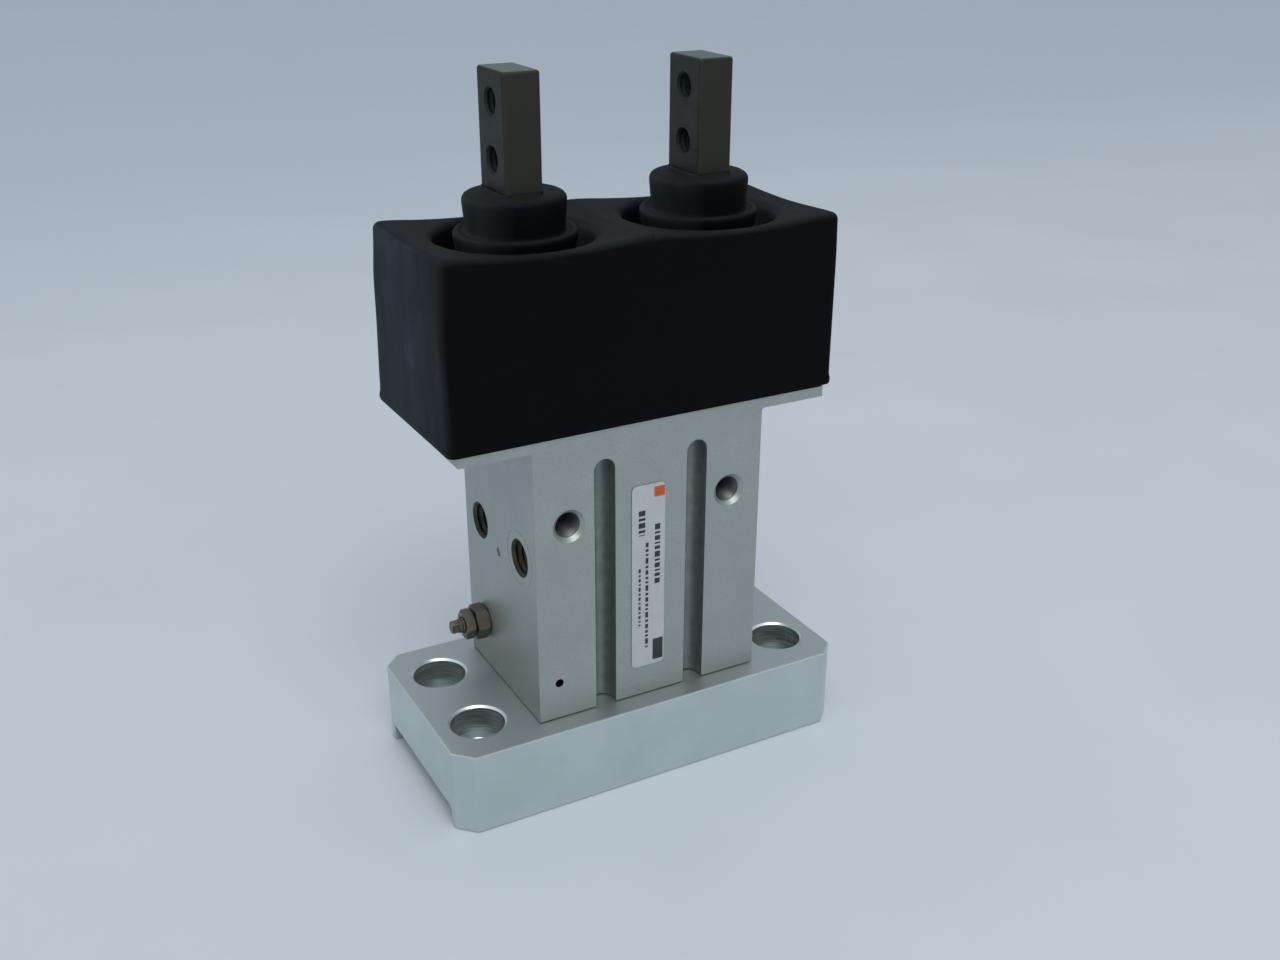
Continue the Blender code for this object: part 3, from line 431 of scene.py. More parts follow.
class Look:
    """A Principled material and the nodes that vary it. Grain sizes are in metres."""

    def __init__(self, name, metallic=0.0, **sockets):
        self.material = bpy.data.materials.new(name)
        self.material.use_nodes = True
        tree = self.material.node_tree
        self.nodes, self.links = tree.nodes, tree.links
        self.shader = self.nodes["Principled BSDF"]
        self.shader.inputs["Metallic"].default_value = metallic
        for socket, value in sockets.items():
            self.shader.inputs[socket.replace("_", " ")].default_value = value
        self.place = self.nodes.new("ShaderNodeTexCoord").outputs["Object"]
        self.last_normal = None

    def noise(self, grain, stretch=(1, 1, 1), detail=3.0, low=0.0, high=1.0):
        """Lumps about one grain across, drawn out along an axis by a stretch above 1."""
        mapping = self.nodes.new("ShaderNodeMapping")
        mapping.inputs["Scale"].default_value = [1 / grain / s for s in stretch]
        self.links.new(self.place, mapping.inputs["Vector"])
        texture = self.nodes.new("ShaderNodeTexNoise")
        texture.inputs["Scale"].default_value = 1.0
        texture.inputs["Detail"].default_value = detail
        self.links.new(mapping.outputs["Vector"], texture.inputs["Vector"])
        return self.spread(texture.outputs["Fac"], 0.3, 0.7, low, high)

    def spread(self, value, low_in, high_in, low, high):
        """Maps a range of a value to another one, and holds it at both ends."""
        ranger = self.nodes.new("ShaderNodeMapRange")
        self.links.new(value, ranger.inputs["Value"])
        ranger.inputs["From Min"].default_value = low_in
        ranger.inputs["From Max"].default_value = high_in
        ranger.inputs["To Min"].default_value = low
        ranger.inputs["To Max"].default_value = high
        return ranger.outputs["Result"]

    def along(self, axis, source=None):
        """One coordinate of a vector, or of the place on the object."""
        split = self.nodes.new("ShaderNodeSeparateXYZ")
        self.links.new(source or self.place, split.inputs["Vector"])
        return split.outputs[axis]

    def facing(self, axis):
        """How far the surface faces along an axis of the object, from -1 to 1."""
        normal = self.nodes.new("ShaderNodeNewGeometry").outputs["Normal"]
        return self.along(axis, normal)

    def maths(self, operation, a, b):
        """A sum is held between 0 and 1, and a product is left as it is."""
        node = self.nodes.new("ShaderNodeMath")
        node.operation = operation
        node.use_clamp = operation == "ADD"
        for socket, value in zip(node.inputs, (a, b)):
            if isinstance(value, (int, float)):
                socket.default_value = value
            else:
                self.links.new(value, socket)
        return node.outputs["Value"]

    def blend(self, factor, dark, light):
        """The first colour where the factor is 0, and the second where it is 1."""
        mix = self.nodes.new("ShaderNodeMix")
        mix.data_type = "RGBA"
        self.links.new(factor, mix.inputs["Factor"])
        for socket, colour in zip(("A", "B"), (dark, light)):
            target = [s for s in mix.inputs if s.name == socket and s.type == "RGBA"][0]
            if isinstance(colour, tuple):
                target.default_value = (*colour, 1.0)
            else:
                self.links.new(colour, target)
        return [s for s in mix.outputs if s.type == "RGBA"][0]

    def set(self, socket, source):
        """Leads a value into one of the shader's sockets."""
        self.links.new(source, self.shader.inputs[socket])

    def bump(self, height, depth):
        """Adds fine relief, on top of any that is there."""
        node = self.nodes.new("ShaderNodeBump")
        node.inputs["Strength"].default_value = 1.0
        node.inputs["Distance"].default_value = depth
        self.links.new(height, node.inputs["Height"])
        if self.last_normal:
            self.links.new(self.last_normal, node.inputs["Normal"])
        self.last_normal = node.outputs["Normal"]
        self.links.new(self.last_normal, self.shader.inputs["Normal"])


def anodised_look():
    look = Look("anodised", metallic=0.8)
    cloud = look.noise(6 * MM, detail=4.0)
    grain = look.noise(0.12 * MM, detail=2.0)
    colour = look.blend(cloud, (0.385, 0.42, 0.40), (0.42, 0.455, 0.43))
    speckle = look.noise(0.35 * MM, detail=1.0, low=-0.6, high=0.55)
    look.set("Base Color", look.blend(speckle, colour, (0.33, 0.355, 0.335)))
    look.set("Roughness", look.spread(grain, 0.0, 1.0, 0.40, 0.50))
    look.bump(grain, 0.004 * MM)
    return look.material


def milled_look():
    """Milled aluminium, with streaks along X, duller top faces with painted shade on them, and a
    painted highlight on the sloped faces of its edges.
    """
    look = Look("milled", metallic=0.92)
    streak = look.noise(0.08 * MM, stretch=(60, 1, 1), detail=2.0)
    cloud = look.noise(9 * MM, detail=4.0)
    plain = look.blend(cloud, (0.56, 0.615, 0.615), (0.62, 0.675, 0.675))
    # Top faces: rougher, and their colour painted darker as shade.
    upward = look.spread(look.facing("Z"), 0.9, 1.0, 0.0, 1.0)
    # Painted highlight: the sloped faces of chamfers and rims are made much paler, like a glint of
    # light.
    painted_edge_highlight = look.maths(
        "MULTIPLY",
        look.spread(look.facing("Z"), 0.1, 0.45, 0.0, 1.0),
        look.spread(look.facing("Z"), 0.97, 0.75, 0.0, 1.0),
    )
    faces = look.blend(upward, plain, (0.45, 0.51, 0.515))
    look.set("Base Color", look.blend(painted_edge_highlight, faces, (0.86, 0.90, 0.91)))
    fine = look.spread(streak, 0.0, 1.0, 0.33, 0.44)
    look.set("Roughness", look.maths("ADD", fine, look.maths("MULTIPLY", upward, 0.14)))
    look.bump(streak, 0.003 * MM)
    return look.material


def shaded_bore_look():
    """The turned wall of a counterbore, darkened as painted shade in the hole, with fine rings round
    it.
    """
    look = Look("bore_wall_shade", metallic=0.9)
    rings = look.noise(0.3 * MM, stretch=(14, 14, 1), detail=3.0)
    # Painted shade: a darker colour than the plate's, for the shade inside the counterbore.
    look.set("Base Color", look.blend(rings, (0.24, 0.262, 0.268), (0.50, 0.54, 0.55)))
    look.set("Roughness", look.spread(rings, 0.0, 1.0, 0.32, 0.46))
    look.bump(rings, 0.012 * MM)
    return look.material


def rubber_look():
    """Black rubber, paler on its top faces with dust and a painted sheen, and paler in streaks on its
    left end, more towards the back.
    """
    look = Look("rubber", Specular_IOR_Level=0.06)
    # Top faces: paler, with dust and a painted sheen.
    upward = look.spread(look.facing("Z"), 0.3, 1.0, 0.0, 0.22)
    leftward = look.spread(look.facing("X"), -0.4, -1.0, 0.0, 0.65)
    rearward = look.spread(look.along("Y"), -13 * MM, 6 * MM, 0.45, 1.0)
    sideways = look.maths("MULTIPLY", leftward, rearward)
    streaks = look.noise(4 * MM, stretch=(1, 1, 4), detail=4.0, low=0.7, high=1.25)
    sideways = look.maths("MULTIPLY", sideways, streaks)
    blotch = look.noise(8 * MM, detail=5.0, low=0.6, high=1.15)
    # The paleness of top and left end together: dust, and a painted sheen on top.
    dust_and_sheen = look.maths("MULTIPLY", look.maths("ADD", upward, sideways), blotch)
    look.set("Base Color", look.blend(dust_and_sheen, (0.0026, 0.0031, 0.0042), (0.056, 0.071, 0.080)))
    grain = look.noise(0.18 * MM, detail=3.0)
    look.set("Roughness", look.spread(blotch, 0.0, 1.0, 0.50, 0.66))
    look.bump(grain, 0.006 * MM)
    look.bump(look.noise(5 * MM, detail=1.0), 0.05 * MM)
    return look.material


def finger_look():
    """Dark hardened steel, with a painted warm tint of light on its front and a painted highlight on
    its top end.
    """
    look = Look("finger_steel", metallic=0.75)
    grain = look.noise(0.1 * MM, stretch=(1, 1, 5), detail=3.0)
    cloud = look.noise(3 * MM, detail=4.0)
    steel = look.blend(cloud, (0.037, 0.039, 0.034), (0.052, 0.055, 0.048))
    # Front faces: a painted warm tint, for the light that falls on them.
    front = look.spread(look.facing("Y"), -0.6, -1.0, 0.0, 1.0)
    front_light_tinted = look.blend(front, steel, (0.041, 0.040, 0.031))
    # Top-facing faces: a painted highlight.
    painted_top_highlight = look.spread(look.facing("Z"), 0.8, 0.98, 0.0, 1.0)
    look.set("Base Color", look.blend(painted_top_highlight, front_light_tinted, (0.150, 0.182, 0.188)))
    look.set("Roughness", look.spread(grain, 0.0, 1.0, 0.50, 0.60))
    look.bump(grain, 0.004 * MM)
    return look.material


def plain_metal(name, dark, light, roughness, metallic=1.0):
    """A turned or plated metal with a fine grain and a slightly uneven colour."""
    look = Look(name, metallic=metallic)
    fine = look.noise(0.1 * MM, stretch=(1, 1, 4), detail=2.0)
    look.set("Base Color", look.blend(look.noise(1.5 * MM, detail=4.0), dark, light))
    look.set("Roughness", look.spread(fine, 0.0, 1.0, roughness, roughness + 0.12))
    look.bump(fine, 0.003 * MM)
    return look.material


def moulded(name, dark, light, roughness):
    """A moulded rubber or plastic with a fine grain."""
    look = Look(name)
    fine = look.noise(0.15 * MM, detail=3.0)
    look.set("Base Color", look.blend(look.noise(2.5 * MM, detail=4.0), dark, light))
    look.set("Roughness", look.spread(fine, 0.0, 1.0, roughness, roughness + 0.1))
    look.bump(fine, 0.004 * MM)
    return look.material


LOOKS = {
    "anodised": anodised_look(),
    "milled": milled_look(),
    "rubber": rubber_look(),
    "finger": finger_look(),
    "bright": plain_metal("bright_steel", (0.48, 0.48, 0.47), (0.60, 0.60, 0.59), 0.22),
    "black": plain_metal("black_steel", (0.020, 0.020, 0.021), (0.034, 0.034, 0.035), 0.36, 0.8),
    "fitting": plain_metal("fitting_bronze", (0.14, 0.122, 0.096), (0.20, 0.18, 0.15), 0.34, 0.9),
    # Painted shade: the ports' walls and mouths are made dark brown.
    "port": plain_metal("port_wall_shade", (0.028, 0.027, 0.020), (0.085, 0.080, 0.062), 0.34, 0.8),
    # Painted shade: the tapped holes' walls are made a darker warm grey.
    "tapped": plain_metal("tapped_wall_shade", (0.15, 0.158, 0.157), (0.24, 0.25, 0.25), 0.38, 0.8),
    "hollow": plain_metal("hole_shade", (0.011, 0.011, 0.011), (0.018, 0.018, 0.018), 0.55, 0.4),
    "bore_wall_shade": shaded_bore_look(),
    # Painted shade: the sensor grooves' walls are made darker than the body.
    "groove": plain_metal("slot_wall_shade", (0.22, 0.24, 0.235), (0.28, 0.30, 0.295), 0.42, 0.8),
    "bush": plain_metal("bush_bronze", (0.46, 0.30, 0.13), (0.56, 0.38, 0.18), 0.30),
    "magnet": moulded("magnet", (0.05, 0.05, 0.055), (0.08, 0.08, 0.085), 0.45),
    "seal": moulded("seal_rubber", (0.010, 0.010, 0.011), (0.018, 0.018, 0.019), 0.45),
    "bumper": moulded("bumper_rubber", (0.36, 0.15, 0.035), (0.46, 0.21, 0.055), 0.50),
    "film": moulded("label_film", (0.49, 0.51, 0.505), (0.53, 0.55, 0.545), 0.30),
    "ink": moulded("label_ink", (0.018, 0.019, 0.020), (0.032, 0.033, 0.034), 0.40),
    "orange": moulded("label_orange", (0.56, 0.085, 0.022), (0.64, 0.11, 0.03), 0.38),
}


# -------- adapter plate

PLATE_TOP = top("base_plate")


def build_plate():
    low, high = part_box("base_plate")
    c = PLATE_CORNER
    outline = [
        (low.x + c, low.y), (high.x - c, low.y), (high.x, low.y + c), (high.x, high.y - c),
        (high.x - c, high.y), (low.x + c, high.y), (low.x, high.y - c), (low.x, low.y + c),
    ]
    plate = prism("plate", outline, low.z, high.z, 2)
    channel = block(
        "channel",
        (low.x - OVERRUN, -CHANNEL_HALF, low.z - OVERRUN),
        (high.x + OVERRUN, CHANNEL_HALF, CHANNEL_HEIGHT),
    )
    cut(plate, channel)
    soften(plate, PLATE_EDGE)
    holes = [mount_hole(x, y, high.z) for x, y in corners(*MOUNT_HOLE)]
    holes += [plate_screw_hole(number, high.z) for number in range(1, 5)]
    cut(plate, *holes)
    shade(plate)
    stand_in(plate, LOOKS["milled"], "base", "milled_plate", "base_plate")
    # The counterbores' walls get the painted shade.
    paint_faces(plate, LOOKS["bore_wall_shade"], in_counterbore)


def mount_hole(x, y, surface):
    """A counterbored hole with a rounded rim and a small countersink in its floor."""
    rim = MOUNT_HEAD_RADIUS + MOUNT_RIM
    floor = surface - MOUNT_HEAD_DEPTH
    sink = 0.25 * MM
    profile = [
        (0.0, surface + OVERRUN),
        (rim + 0.05 * MM, surface + OVERRUN),
        (rim + 0.05 * MM, surface + 0.02 * MM),
        (rim - 0.08 * MM, surface - 0.12 * MM),
        (MOUNT_HEAD_RADIUS, surface - MOUNT_RIM),
        (MOUNT_HEAD_RADIUS, floor),
        (MOUNT_HOLE_RADIUS + sink, floor),
        (MOUNT_HOLE_RADIUS, floor - sink),
        (MOUNT_HOLE_RADIUS, CHANNEL_HEIGHT - OVERRUN),
        (0.0, CHANNEL_HEIGHT - OVERRUN),
    ]
    return turned("mount_hole", profile, (x, y, 0.0))


def in_counterbore(point):
    """Whether a point is on the wall of a mounting hole, below its rim and not on its step."""
    reach = math.hypot(abs(point.x) - MOUNT_HOLE[0], abs(point.y) - MOUNT_HOLE[1])
    below = PLATE_TOP - point.z
    in_head = 0.35 * MM < below < MOUNT_HEAD_DEPTH - 0.05 * MM
    in_shank = below > MOUNT_HEAD_DEPTH + 0.3 * MM and point.z > CHANNEL_HEIGHT
    return (in_head or in_shank) and reach < MOUNT_HEAD_RADIUS + 0.1 * MM


def plate_screw_hole(number, surface):
    """Room for a screw and its head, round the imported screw."""
    name = f"plate_screw_{number}"
    centre = middle(name)
    shank = PLATE_SCREW_RADIUS + GAP
    head = outer_radius(name) + GAP
    seat = bottom(name) + PLATE_SCREW_HEAD_HEIGHT + GAP
    profile = stepped((shank, surface + OVERRUN, seat), (head, seat, CHANNEL_HEIGHT - OVERRUN))
    return turned("screw_hole", profile, (centre.x, centre.y, 0.0), sides=SMALL)


# -------- body


def build_body():
    low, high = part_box("body")
    body = prism("gripper_body", body_outline(low, high), low.y, high.y, 1)
    slots = [sensor_slot(x, side, low, high) for x in (-SLOT_X, SLOT_X) for side in (-1, 1)]
    cut(body, *slots)
    soften(body, BODY_EDGE, angle=50)
    tapped = [tapped_hole(x, side, high.y) for x in (-TAPPED_X, TAPPED_X) for side in (-1, 1)]
    cut(body, *tapped, *air_cutters(low))
    cut(body, *inner_cutters(low, high))
    shade(body)
    stand_in(body, LOOKS["anodised"], "base", "anodised_body", "body")
    # Painted shade in the two ports.
    paint_faces(body, LOOKS["port"], in_port)
    # Painted shade in the tapped holes.
    paint_faces(body, LOOKS["tapped"], in_tapped_hole)
    # Painted shade in the sensor grooves.
    paint_faces(body, LOOKS["groove"], in_slot)
    # Painted shade: the small hole's walls get the black look.
    paint_faces(body, LOOKS["black"], in_vent)


def body_outline(low, high):
    """The block and its flange seen from the front, with a small fillet where they meet."""
    shelf = high.z - FLANGE_THICKNESS
    turn = FLANGE_FILLET
    right = [
        (BODY_HALF, low.z - BODY_FOOT),
        (BODY_HALF, shelf - turn),
        (BODY_HALF + 0.3 * turn, shelf - 0.3 * turn),
        (BODY_HALF + turn, shelf),
        (high.x, shelf),
        (high.x, high.z),
    ]
    left = [(-x, z) for x, z in reversed(right)]
    return right + left


def sensor_slot(x, side, low, high):
    """A round-bottomed groove, open at the lower end of the body and round at the top."""
    radius = SLOT_WIDTH / 2
    steps = 12
    floor = high.y - SLOT_DEPTH
    outside = high.y + OVERRUN
    rings = [slot_section(x, side, radius, low.z - OVERRUN, floor, outside)]
    for step in range(steps):
        rise = math.pi / 2 * step / steps
        z = SLOT_TOP - radius + radius * math.sin(rise)
        rings.append(slot_section(x, side, radius * math.cos(rise), z, floor, outside))
    tip = slot_section(x, side, 0.02 * radius, SLOT_TOP, floor, outside)
    return loft("sensor_slot", rings + [tip], caps=True)


def slot_section(x, side, half, z, floor, outside):
    """The groove's section at height z: straight sides and a half-round floor."""
    points = [(x + half, side * outside, z)]
    depth = 0.55 * SLOT_WIDTH
    steps = 16
    for step in range(steps + 1):
        angle = math.pi * step / steps
        y = floor + depth * (1 - math.sin(angle))
        points.append((x + half * math.cos(angle), side * y, z))
    points.append((x - half, side * outside, z))
    return points


def threaded(thread, depth):
    """The profile of a tapped hole with a countersunk mouth, its threads as rings."""
    drill, mouth, pitch = thread
    start = mouth - drill
    profile = [(0.0, OVERRUN), (mouth, OVERRUN), (mouth, 0.0), (drill, -start)]
    for turn in range(int((depth - start) / pitch)):
        ledge = -start - turn * pitch
        profile.append((drill, ledge - 0.2 * pitch))
        profile.append((drill + 0.45 * pitch, ledge - 0.6 * pitch))
    return profile + [(drill, -depth), (0.0, -depth - drill / 2)]


def tapped_hole(x, side, face):
    profile = threaded(M4_THREAD, TAPPED_DEPTH)
    return turned("tapped_hole", profile, (x, side * face, TAPPED_Z), (0, side, 0))


def air_cutters(low):
    """The ports, the flow needle's seat, the passages behind them and three small marks."""
    outward = (-1, 0, 0)
    face = -BODY_HALF
    depth = PASSAGE_X - face + 1.3 * MM
    front = (face, -PORT_Y, PORT_Z)
    front_end = (PASSAGE_X, -PORT_Y, PORT_Z)
    needle_end = (PASSAGE_X, NEEDLE_Y, NEEDLE_Z)
    below = low.z - OVERRUN
    return [
        turned("front_port", threaded(M5_THREAD, depth), front, outward),
        turned("rear_port", threaded(M5_THREAD, depth), (face, PORT_Y, PORT_Z), outward),
        needle_seat(face, depth),
        rod("front_passage", PASSAGE_RADIUS, 0.0, -PASSAGE_LENGTH, front_end, outward),
        rod("lower_passage", PASSAGE_RADIUS, 0.0, -PASSAGE_LENGTH, needle_end, outward),
        rod("drop_passage", PASSAGE_RADIUS, PORT_Z, below, (PASSAGE_X, NEEDLE_Y, 0.0)),
        spot_ring(front, outward),
        dimple(VENT_RADIUS, VENT_DEPTH, (VENT_X, low.y, VENT_Z), (0, -1, 0)),
        dimple(0.7 * MM, 0.4 * MM, (face, 0.5 * MM, 35.2 * MM), outward),
    ]


def needle_seat(face, depth):
    """The hole that the flow needle's holder is pressed into."""
    radius, mouth = 2.2 * MM, 2.4 * MM
    profile = [
        (0.0, OVERRUN), (mouth, OVERRUN), (mouth, 0.0), (radius, radius - mouth),
        (radius, -depth), (0.0, -depth - OVERRUN),
    ]
    return turned("needle_seat", profile, (face, NEEDLE_Y, NEEDLE_Z), (-1, 0, 0), SMALL)


def spot_ring(centre, direction):
    """The fine ring that a spot-facing tool leaves round the front port."""
    inner, outer, floor = 4.1 * MM, 4.22 * MM, -0.03 * MM
    profile = [(inner, OVERRUN), (outer, OVERRUN), (outer, floor), (inner, floor)]
    return turned("spot_ring", profile, centre, direction, closed=True)


def dimple(radius, depth, centre, direction):
    profile = [(0.0, OVERRUN), (radius, OVERRUN), (radius, -0.6 * depth), (0.0, -depth)]
    return turned("dimple", profile, centre, direction, SMALL)


def inner_cutters(low, high):
    """The bore, the rod's seat, the wedge's pocket and the screw holes, round their parts."""
    below, above = low.z - OVERRUN, high.z + OVERRUN
    roof = top("upper_bumper") + GAP
    pocket_floor = top("rod_bush") + GAP
    cutters = [bore(below, roof), rod_seat(roof, pocket_floor), wedge_pocket(pocket_floor, above)]
    for number in range(1, 5):
        name = f"plate_screw_{number}"
        cutters.append(screw_room(name, PLATE_SCREW_RADIUS + GAP, below, top(name) + GAP))
        name = f"guide_screw_{number}"
        cutters.append(screw_room(name, GUIDE_SCREW_RADIUS + GAP, bottom(name) - GAP, above))
    return cutters


def bore(below, roof):
    """The cylinder's bore, with the groove of its snap ring."""
    radius = outer_radius("cylinder_cap") + GAP
    groove = outer_radius("cap_snap_ring") + GAP
    groove_low = bottom("cap_snap_ring") - 0.2 * MM
    groove_high = top("cap_snap_ring") + 0.2 * MM
    steps = [
        (radius, roof, groove_high), (groove, groove_high, groove_low), (radius, groove_low, below)
    ]
    return turned("bore", stepped(*steps))


def rod_seat(roof, pocket_floor):
    """The hole for the rod, with room for its seal and its bush above."""
    seat = outer_radius("rod_seal") + GAP
    seat_bottom = bottom("rod_seal") - GAP
    hole = outer_radius("piston_rod") + GAP
    steps = [(seat, pocket_floor + OVERRUN, seat_bottom), (hole, seat_bottom, roof - OVERRUN)]
    return turned("rod_seat", stepped(*steps))


def wedge_pocket(floor, above):
    """The open pocket that the wedge moves in."""
    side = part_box("wedge_cam")[1]
    x, y = side.x + 1.0 * MM, side.y + 0.7 * MM
    return block("pocket", (-x, -y, floor), (x, y, above))


def screw_room(name, radius, low, high):
    centre = middle(name)
    return rod("screw_room", radius, high, low, (centre.x, centre.y, 0.0))


def in_port(point):
    """Whether a point is inside one of the two ports, below its mouth."""
    reach = math.hypot(abs(point.y) - PORT_Y, point.z - PORT_Z)
    deep = -BODY_HALF + 0.05 * MM < point.x < PASSAGE_X + 3 * MM
    return deep and reach < 3.2 * MM


def in_tapped_hole(point):
    reach = math.hypot(abs(point.x) - TAPPED_X, point.z - TAPPED_Z)
    deep = 4.0 * MM < abs(point.y) < BODY_DEPTH_HALF - 0.5 * MM
    return deep and reach < 2.4 * MM


def in_slot(point):
    beside = abs(abs(point.x) - SLOT_X)
    floor = BODY_DEPTH_HALF - SLOT_DEPTH - 0.1 * MM
    deep = floor < abs(point.y) < BODY_DEPTH_HALF - 0.25 * MM
    return deep and beside < SLOT_WIDTH / 2 + 0.05 * MM and point.z < SLOT_TOP


def in_vent(point):
    reach = math.hypot(point.x - VENT_X, point.z - VENT_Z)
    depth = BODY_DEPTH_HALF + point.y
    return 0.1 * MM < depth < VENT_DEPTH + 0.2 * MM and reach < VENT_RADIUS + 0.05 * MM


def build_label():
    low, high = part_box("label")
    outline = rounded_outline(low.x, high.x, low.z, high.z, LABEL_CORNER)
    film = prism("label_film", outline, low.y, high.y, 1)
    soften(film, 0.03 * MM, segments=1, angle=60)
    shade(film)
    stand_in(film, LOOKS["film"], "base", "label_film", "label")
    back = low.y - 0.01 * MM
    front = back - INK_THICKNESS
    marks = []
    for column in PRINT_COLUMNS:
        marks += column_of_marks(*column, front, back)
    marks.append(block("mark", (0.3 * MM, front, 18.7 * MM), (2.0 * MM, back, 22.2 * MM)))
    print_piece = combine(marks[0], "UNION", *marks[1:])
    print_piece.name = "label_print"
    stand_in(print_piece, LOOKS["ink"], "base", "label_film")
    square = block("label_square", (0.4 * MM, front, 45.4 * MM), (2.1 * MM, back, 46.95 * MM))
    stand_in(square, LOOKS["orange"], "base", "label_film")


def column_of_marks(centre, width, upper, lower, lengths, front, back):
    """Plain bars that run down the label in place of a line of print."""
    marks, z, index = [], upper, 0
    while z > lower:
        length = lengths[index % len(lengths)] * MM
        low = (centre - width / 2, front, max(z - length, lower))
        marks.append(block("mark", low, (centre + width / 2, back, z)))
        z -= length + PRINT_GAP
        index += 1
    return marks


def rounded_outline(low_u, high_u, low_v, high_v, radius, steps=8):
    """A rectangle with round corners, as points in turn round it."""
    middles = [
        (high_u - radius, low_v + radius, -90), (high_u - radius, high_v - radius, 0),
        (low_u + radius, high_v - radius, 90), (low_u + radius, low_v + radius, 180),
    ]
    points = []
    for u, v, start in middles:
        points += [arc_point(u, v, radius, start + 90 * step / steps) for step in range(steps + 1)]
    return points


def arc_point(u, v, radius, degrees):
    angle = math.radians(degrees)
    return (u + radius * math.cos(angle), v + radius * math.sin(angle))


# -------- flow needle


def nut(name, flats, low, high):
    """A hexagonal nut along X with both ends chamfered, still without its hole."""
    centre = (NEEDLE_Y, NEEDLE_Z)
    piece = prism(name, hexagon_outline(flats, centre), low, high, 0)
    corner = hexagon_radius(flats)
    flat = 0.97 * flats / 2
    chamfer = 0.28 * (corner - flat) + 0.1 * MM
    profile = [
        (0.0, high), (flat, high), (corner, high - chamfer),
        (corner, low + chamfer), (flat, low), (0.0, low),
    ]
    return combine(piece, "INTERSECT", turned("barrel", profile, (0, *centre), (1, 0, 0)))


def build_needle():
    low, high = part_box("needle")
    radius = (high.y - low.y) / 2
    centre = (0, NEEDLE_Y, NEEDLE_Z)
    build_holder(radius + GAP, centre)
    build_lock_nut(radius + 0.15 * MM, centre)
    build_flow_screw(low, high, radius, centre)


def build_holder(hole, centre):
    """The hexagon that the needle turns in, with its stem in the body."""
    low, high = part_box("needle_holder")
    face = -BODY_HALF - 0.05 * MM
    along = (1, 0, 0)
    holder = nut("flow_holder", high.z - low.z, low.x, face)
    combine(holder, "UNION", rod("stem", HOLDER_STEM_RADIUS, face - 0.5 * MM, high.x, centre, along))
    cut(holder, rod("through", hole, low.x - OVERRUN, high.x + OVERRUN, centre, along))
    finish_fitting(holder, "needle_holder")


def build_lock_nut(hole, centre):
    low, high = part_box("needle_lock_nut")
    end = high.x + 0.2 * MM
    lock = nut("flow_lock_nut", high.z - low.z, low.x, end)
    cut(lock, rod("nut_hole", hole, end + OVERRUN, low.x - OVERRUN, centre, (1, 0, 0)))
    finish_fitting(lock, "needle_lock_nut")


def finish_fitting(obj, node):
    soften(obj, 0.05 * MM, segments=1, angle=25)
    shade(obj)
    stand_in(obj, LOOKS["fitting"], "base", "fitting_bronze", node)


def build_flow_screw(low, high, radius, centre):
    """The adjusting screw, with thread rings, a cone inside and two flats to turn it by."""
    pitch = 0.4 * MM
    root = radius - 0.16 * MM
    crest = radius - 0.02 * MM
    x = low.x + 1.1 * MM
    profile = [(0.0, low.x), (root - 0.1 * MM, low.x), (root, low.x + 0.15 * MM)]
    profile += [(root, x), (crest, x + 0.1 * MM)]
    while x < high.x - 3.0 * MM:
        profile.append((root, x + 0.5 * pitch))
        profile.append((crest, x + pitch))
        x += pitch
    profile += [(radius, high.x - 1.6 * MM), (0.45 * MM, high.x), (0.0, high.x)]
    screw = turned("flow_screw", profile, centre, (1, 0, 0), SMALL)
    cut(screw, *[screw_flat(low.x, sign) for sign in (-1, 1)])
    shade(screw)
    stand_in(screw, LOOKS["fitting"], "needle_group", "fitting_bronze", "needle")


def screw_flat(end, sign):
    """What is cut away beside the screw's tip on one side."""
    near, far = across(sign, 0.7 * MM, 3.0 * MM)
    return block(
        "flat",
        (end - OVERRUN, NEEDLE_Y + near, NEEDLE_Z - 3 * MM),
        (end + 1.05 * MM, NEEDLE_Y + far, NEEDLE_Z + 3 * MM),
    )


# -------- fingers and boots


def build_finger(label, side):
    low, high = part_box(f"finger_{label}")
    half_x, half_y = FINGER_HALF
    left, right = across(side, FINGER_X - half_x, FINGER_X + half_x)
    name = f"gripping_finger_{label}"
    finger = block(name, (left, -half_y, SLIDER_TOP - OVERRUN), (right, half_y, high.z))
    soften(finger, FINGER_EDGE, segments=5)
    depth = SLIDER_HALF_DEPTH
    slider = block("slider", (low.x, -depth, low.z), (high.x, depth, SLIDER_TOP))
    tongue_low, tongue_high = TONGUE_Z
    tongue = block("tongue", (low.x + GAP, low.y, tongue_low), (high.x - GAP, high.y, tongue_high))
    combine(finger, "UNION", slider, tongue)
    soften(finger, 0.06 * MM, segments=1, angle=60)
    cut(finger, wedge_room(side, low.z), pin_hole(f"cam_pin_{label}"), *finger_holes(side))
    shade(finger)
    stand_in(finger, LOOKS["finger"], f"finger_{label}_group", "finger_steel", f"finger_{label}")
    paint_faces(finger, LOOKS["hollow"], in_finger_hole)


def finger_holes(side):
    """The tapped holes through a finger, cut from both of its faces."""
    half = FINGER_HALF[0]
    profile = threaded(FINGER_THREAD, half)
    holes = []
    for z in FINGER_HOLES_Z:
        for sign in (-1, 1):
            centre = (side * FINGER_X + sign * half, 0.0, z)
            holes.append(turned("finger_hole", profile, centre, (sign, 0, 0), SMALL))
    return holes


def in_finger_hole(point):
    inside = abs(abs(point.x) - FINGER_X) < FINGER_HALF[0] - 0.05 * MM
    return inside and any(math.hypot(point.y, point.z - z) < 2.2 * MM for z in FINGER_HOLES_Z)


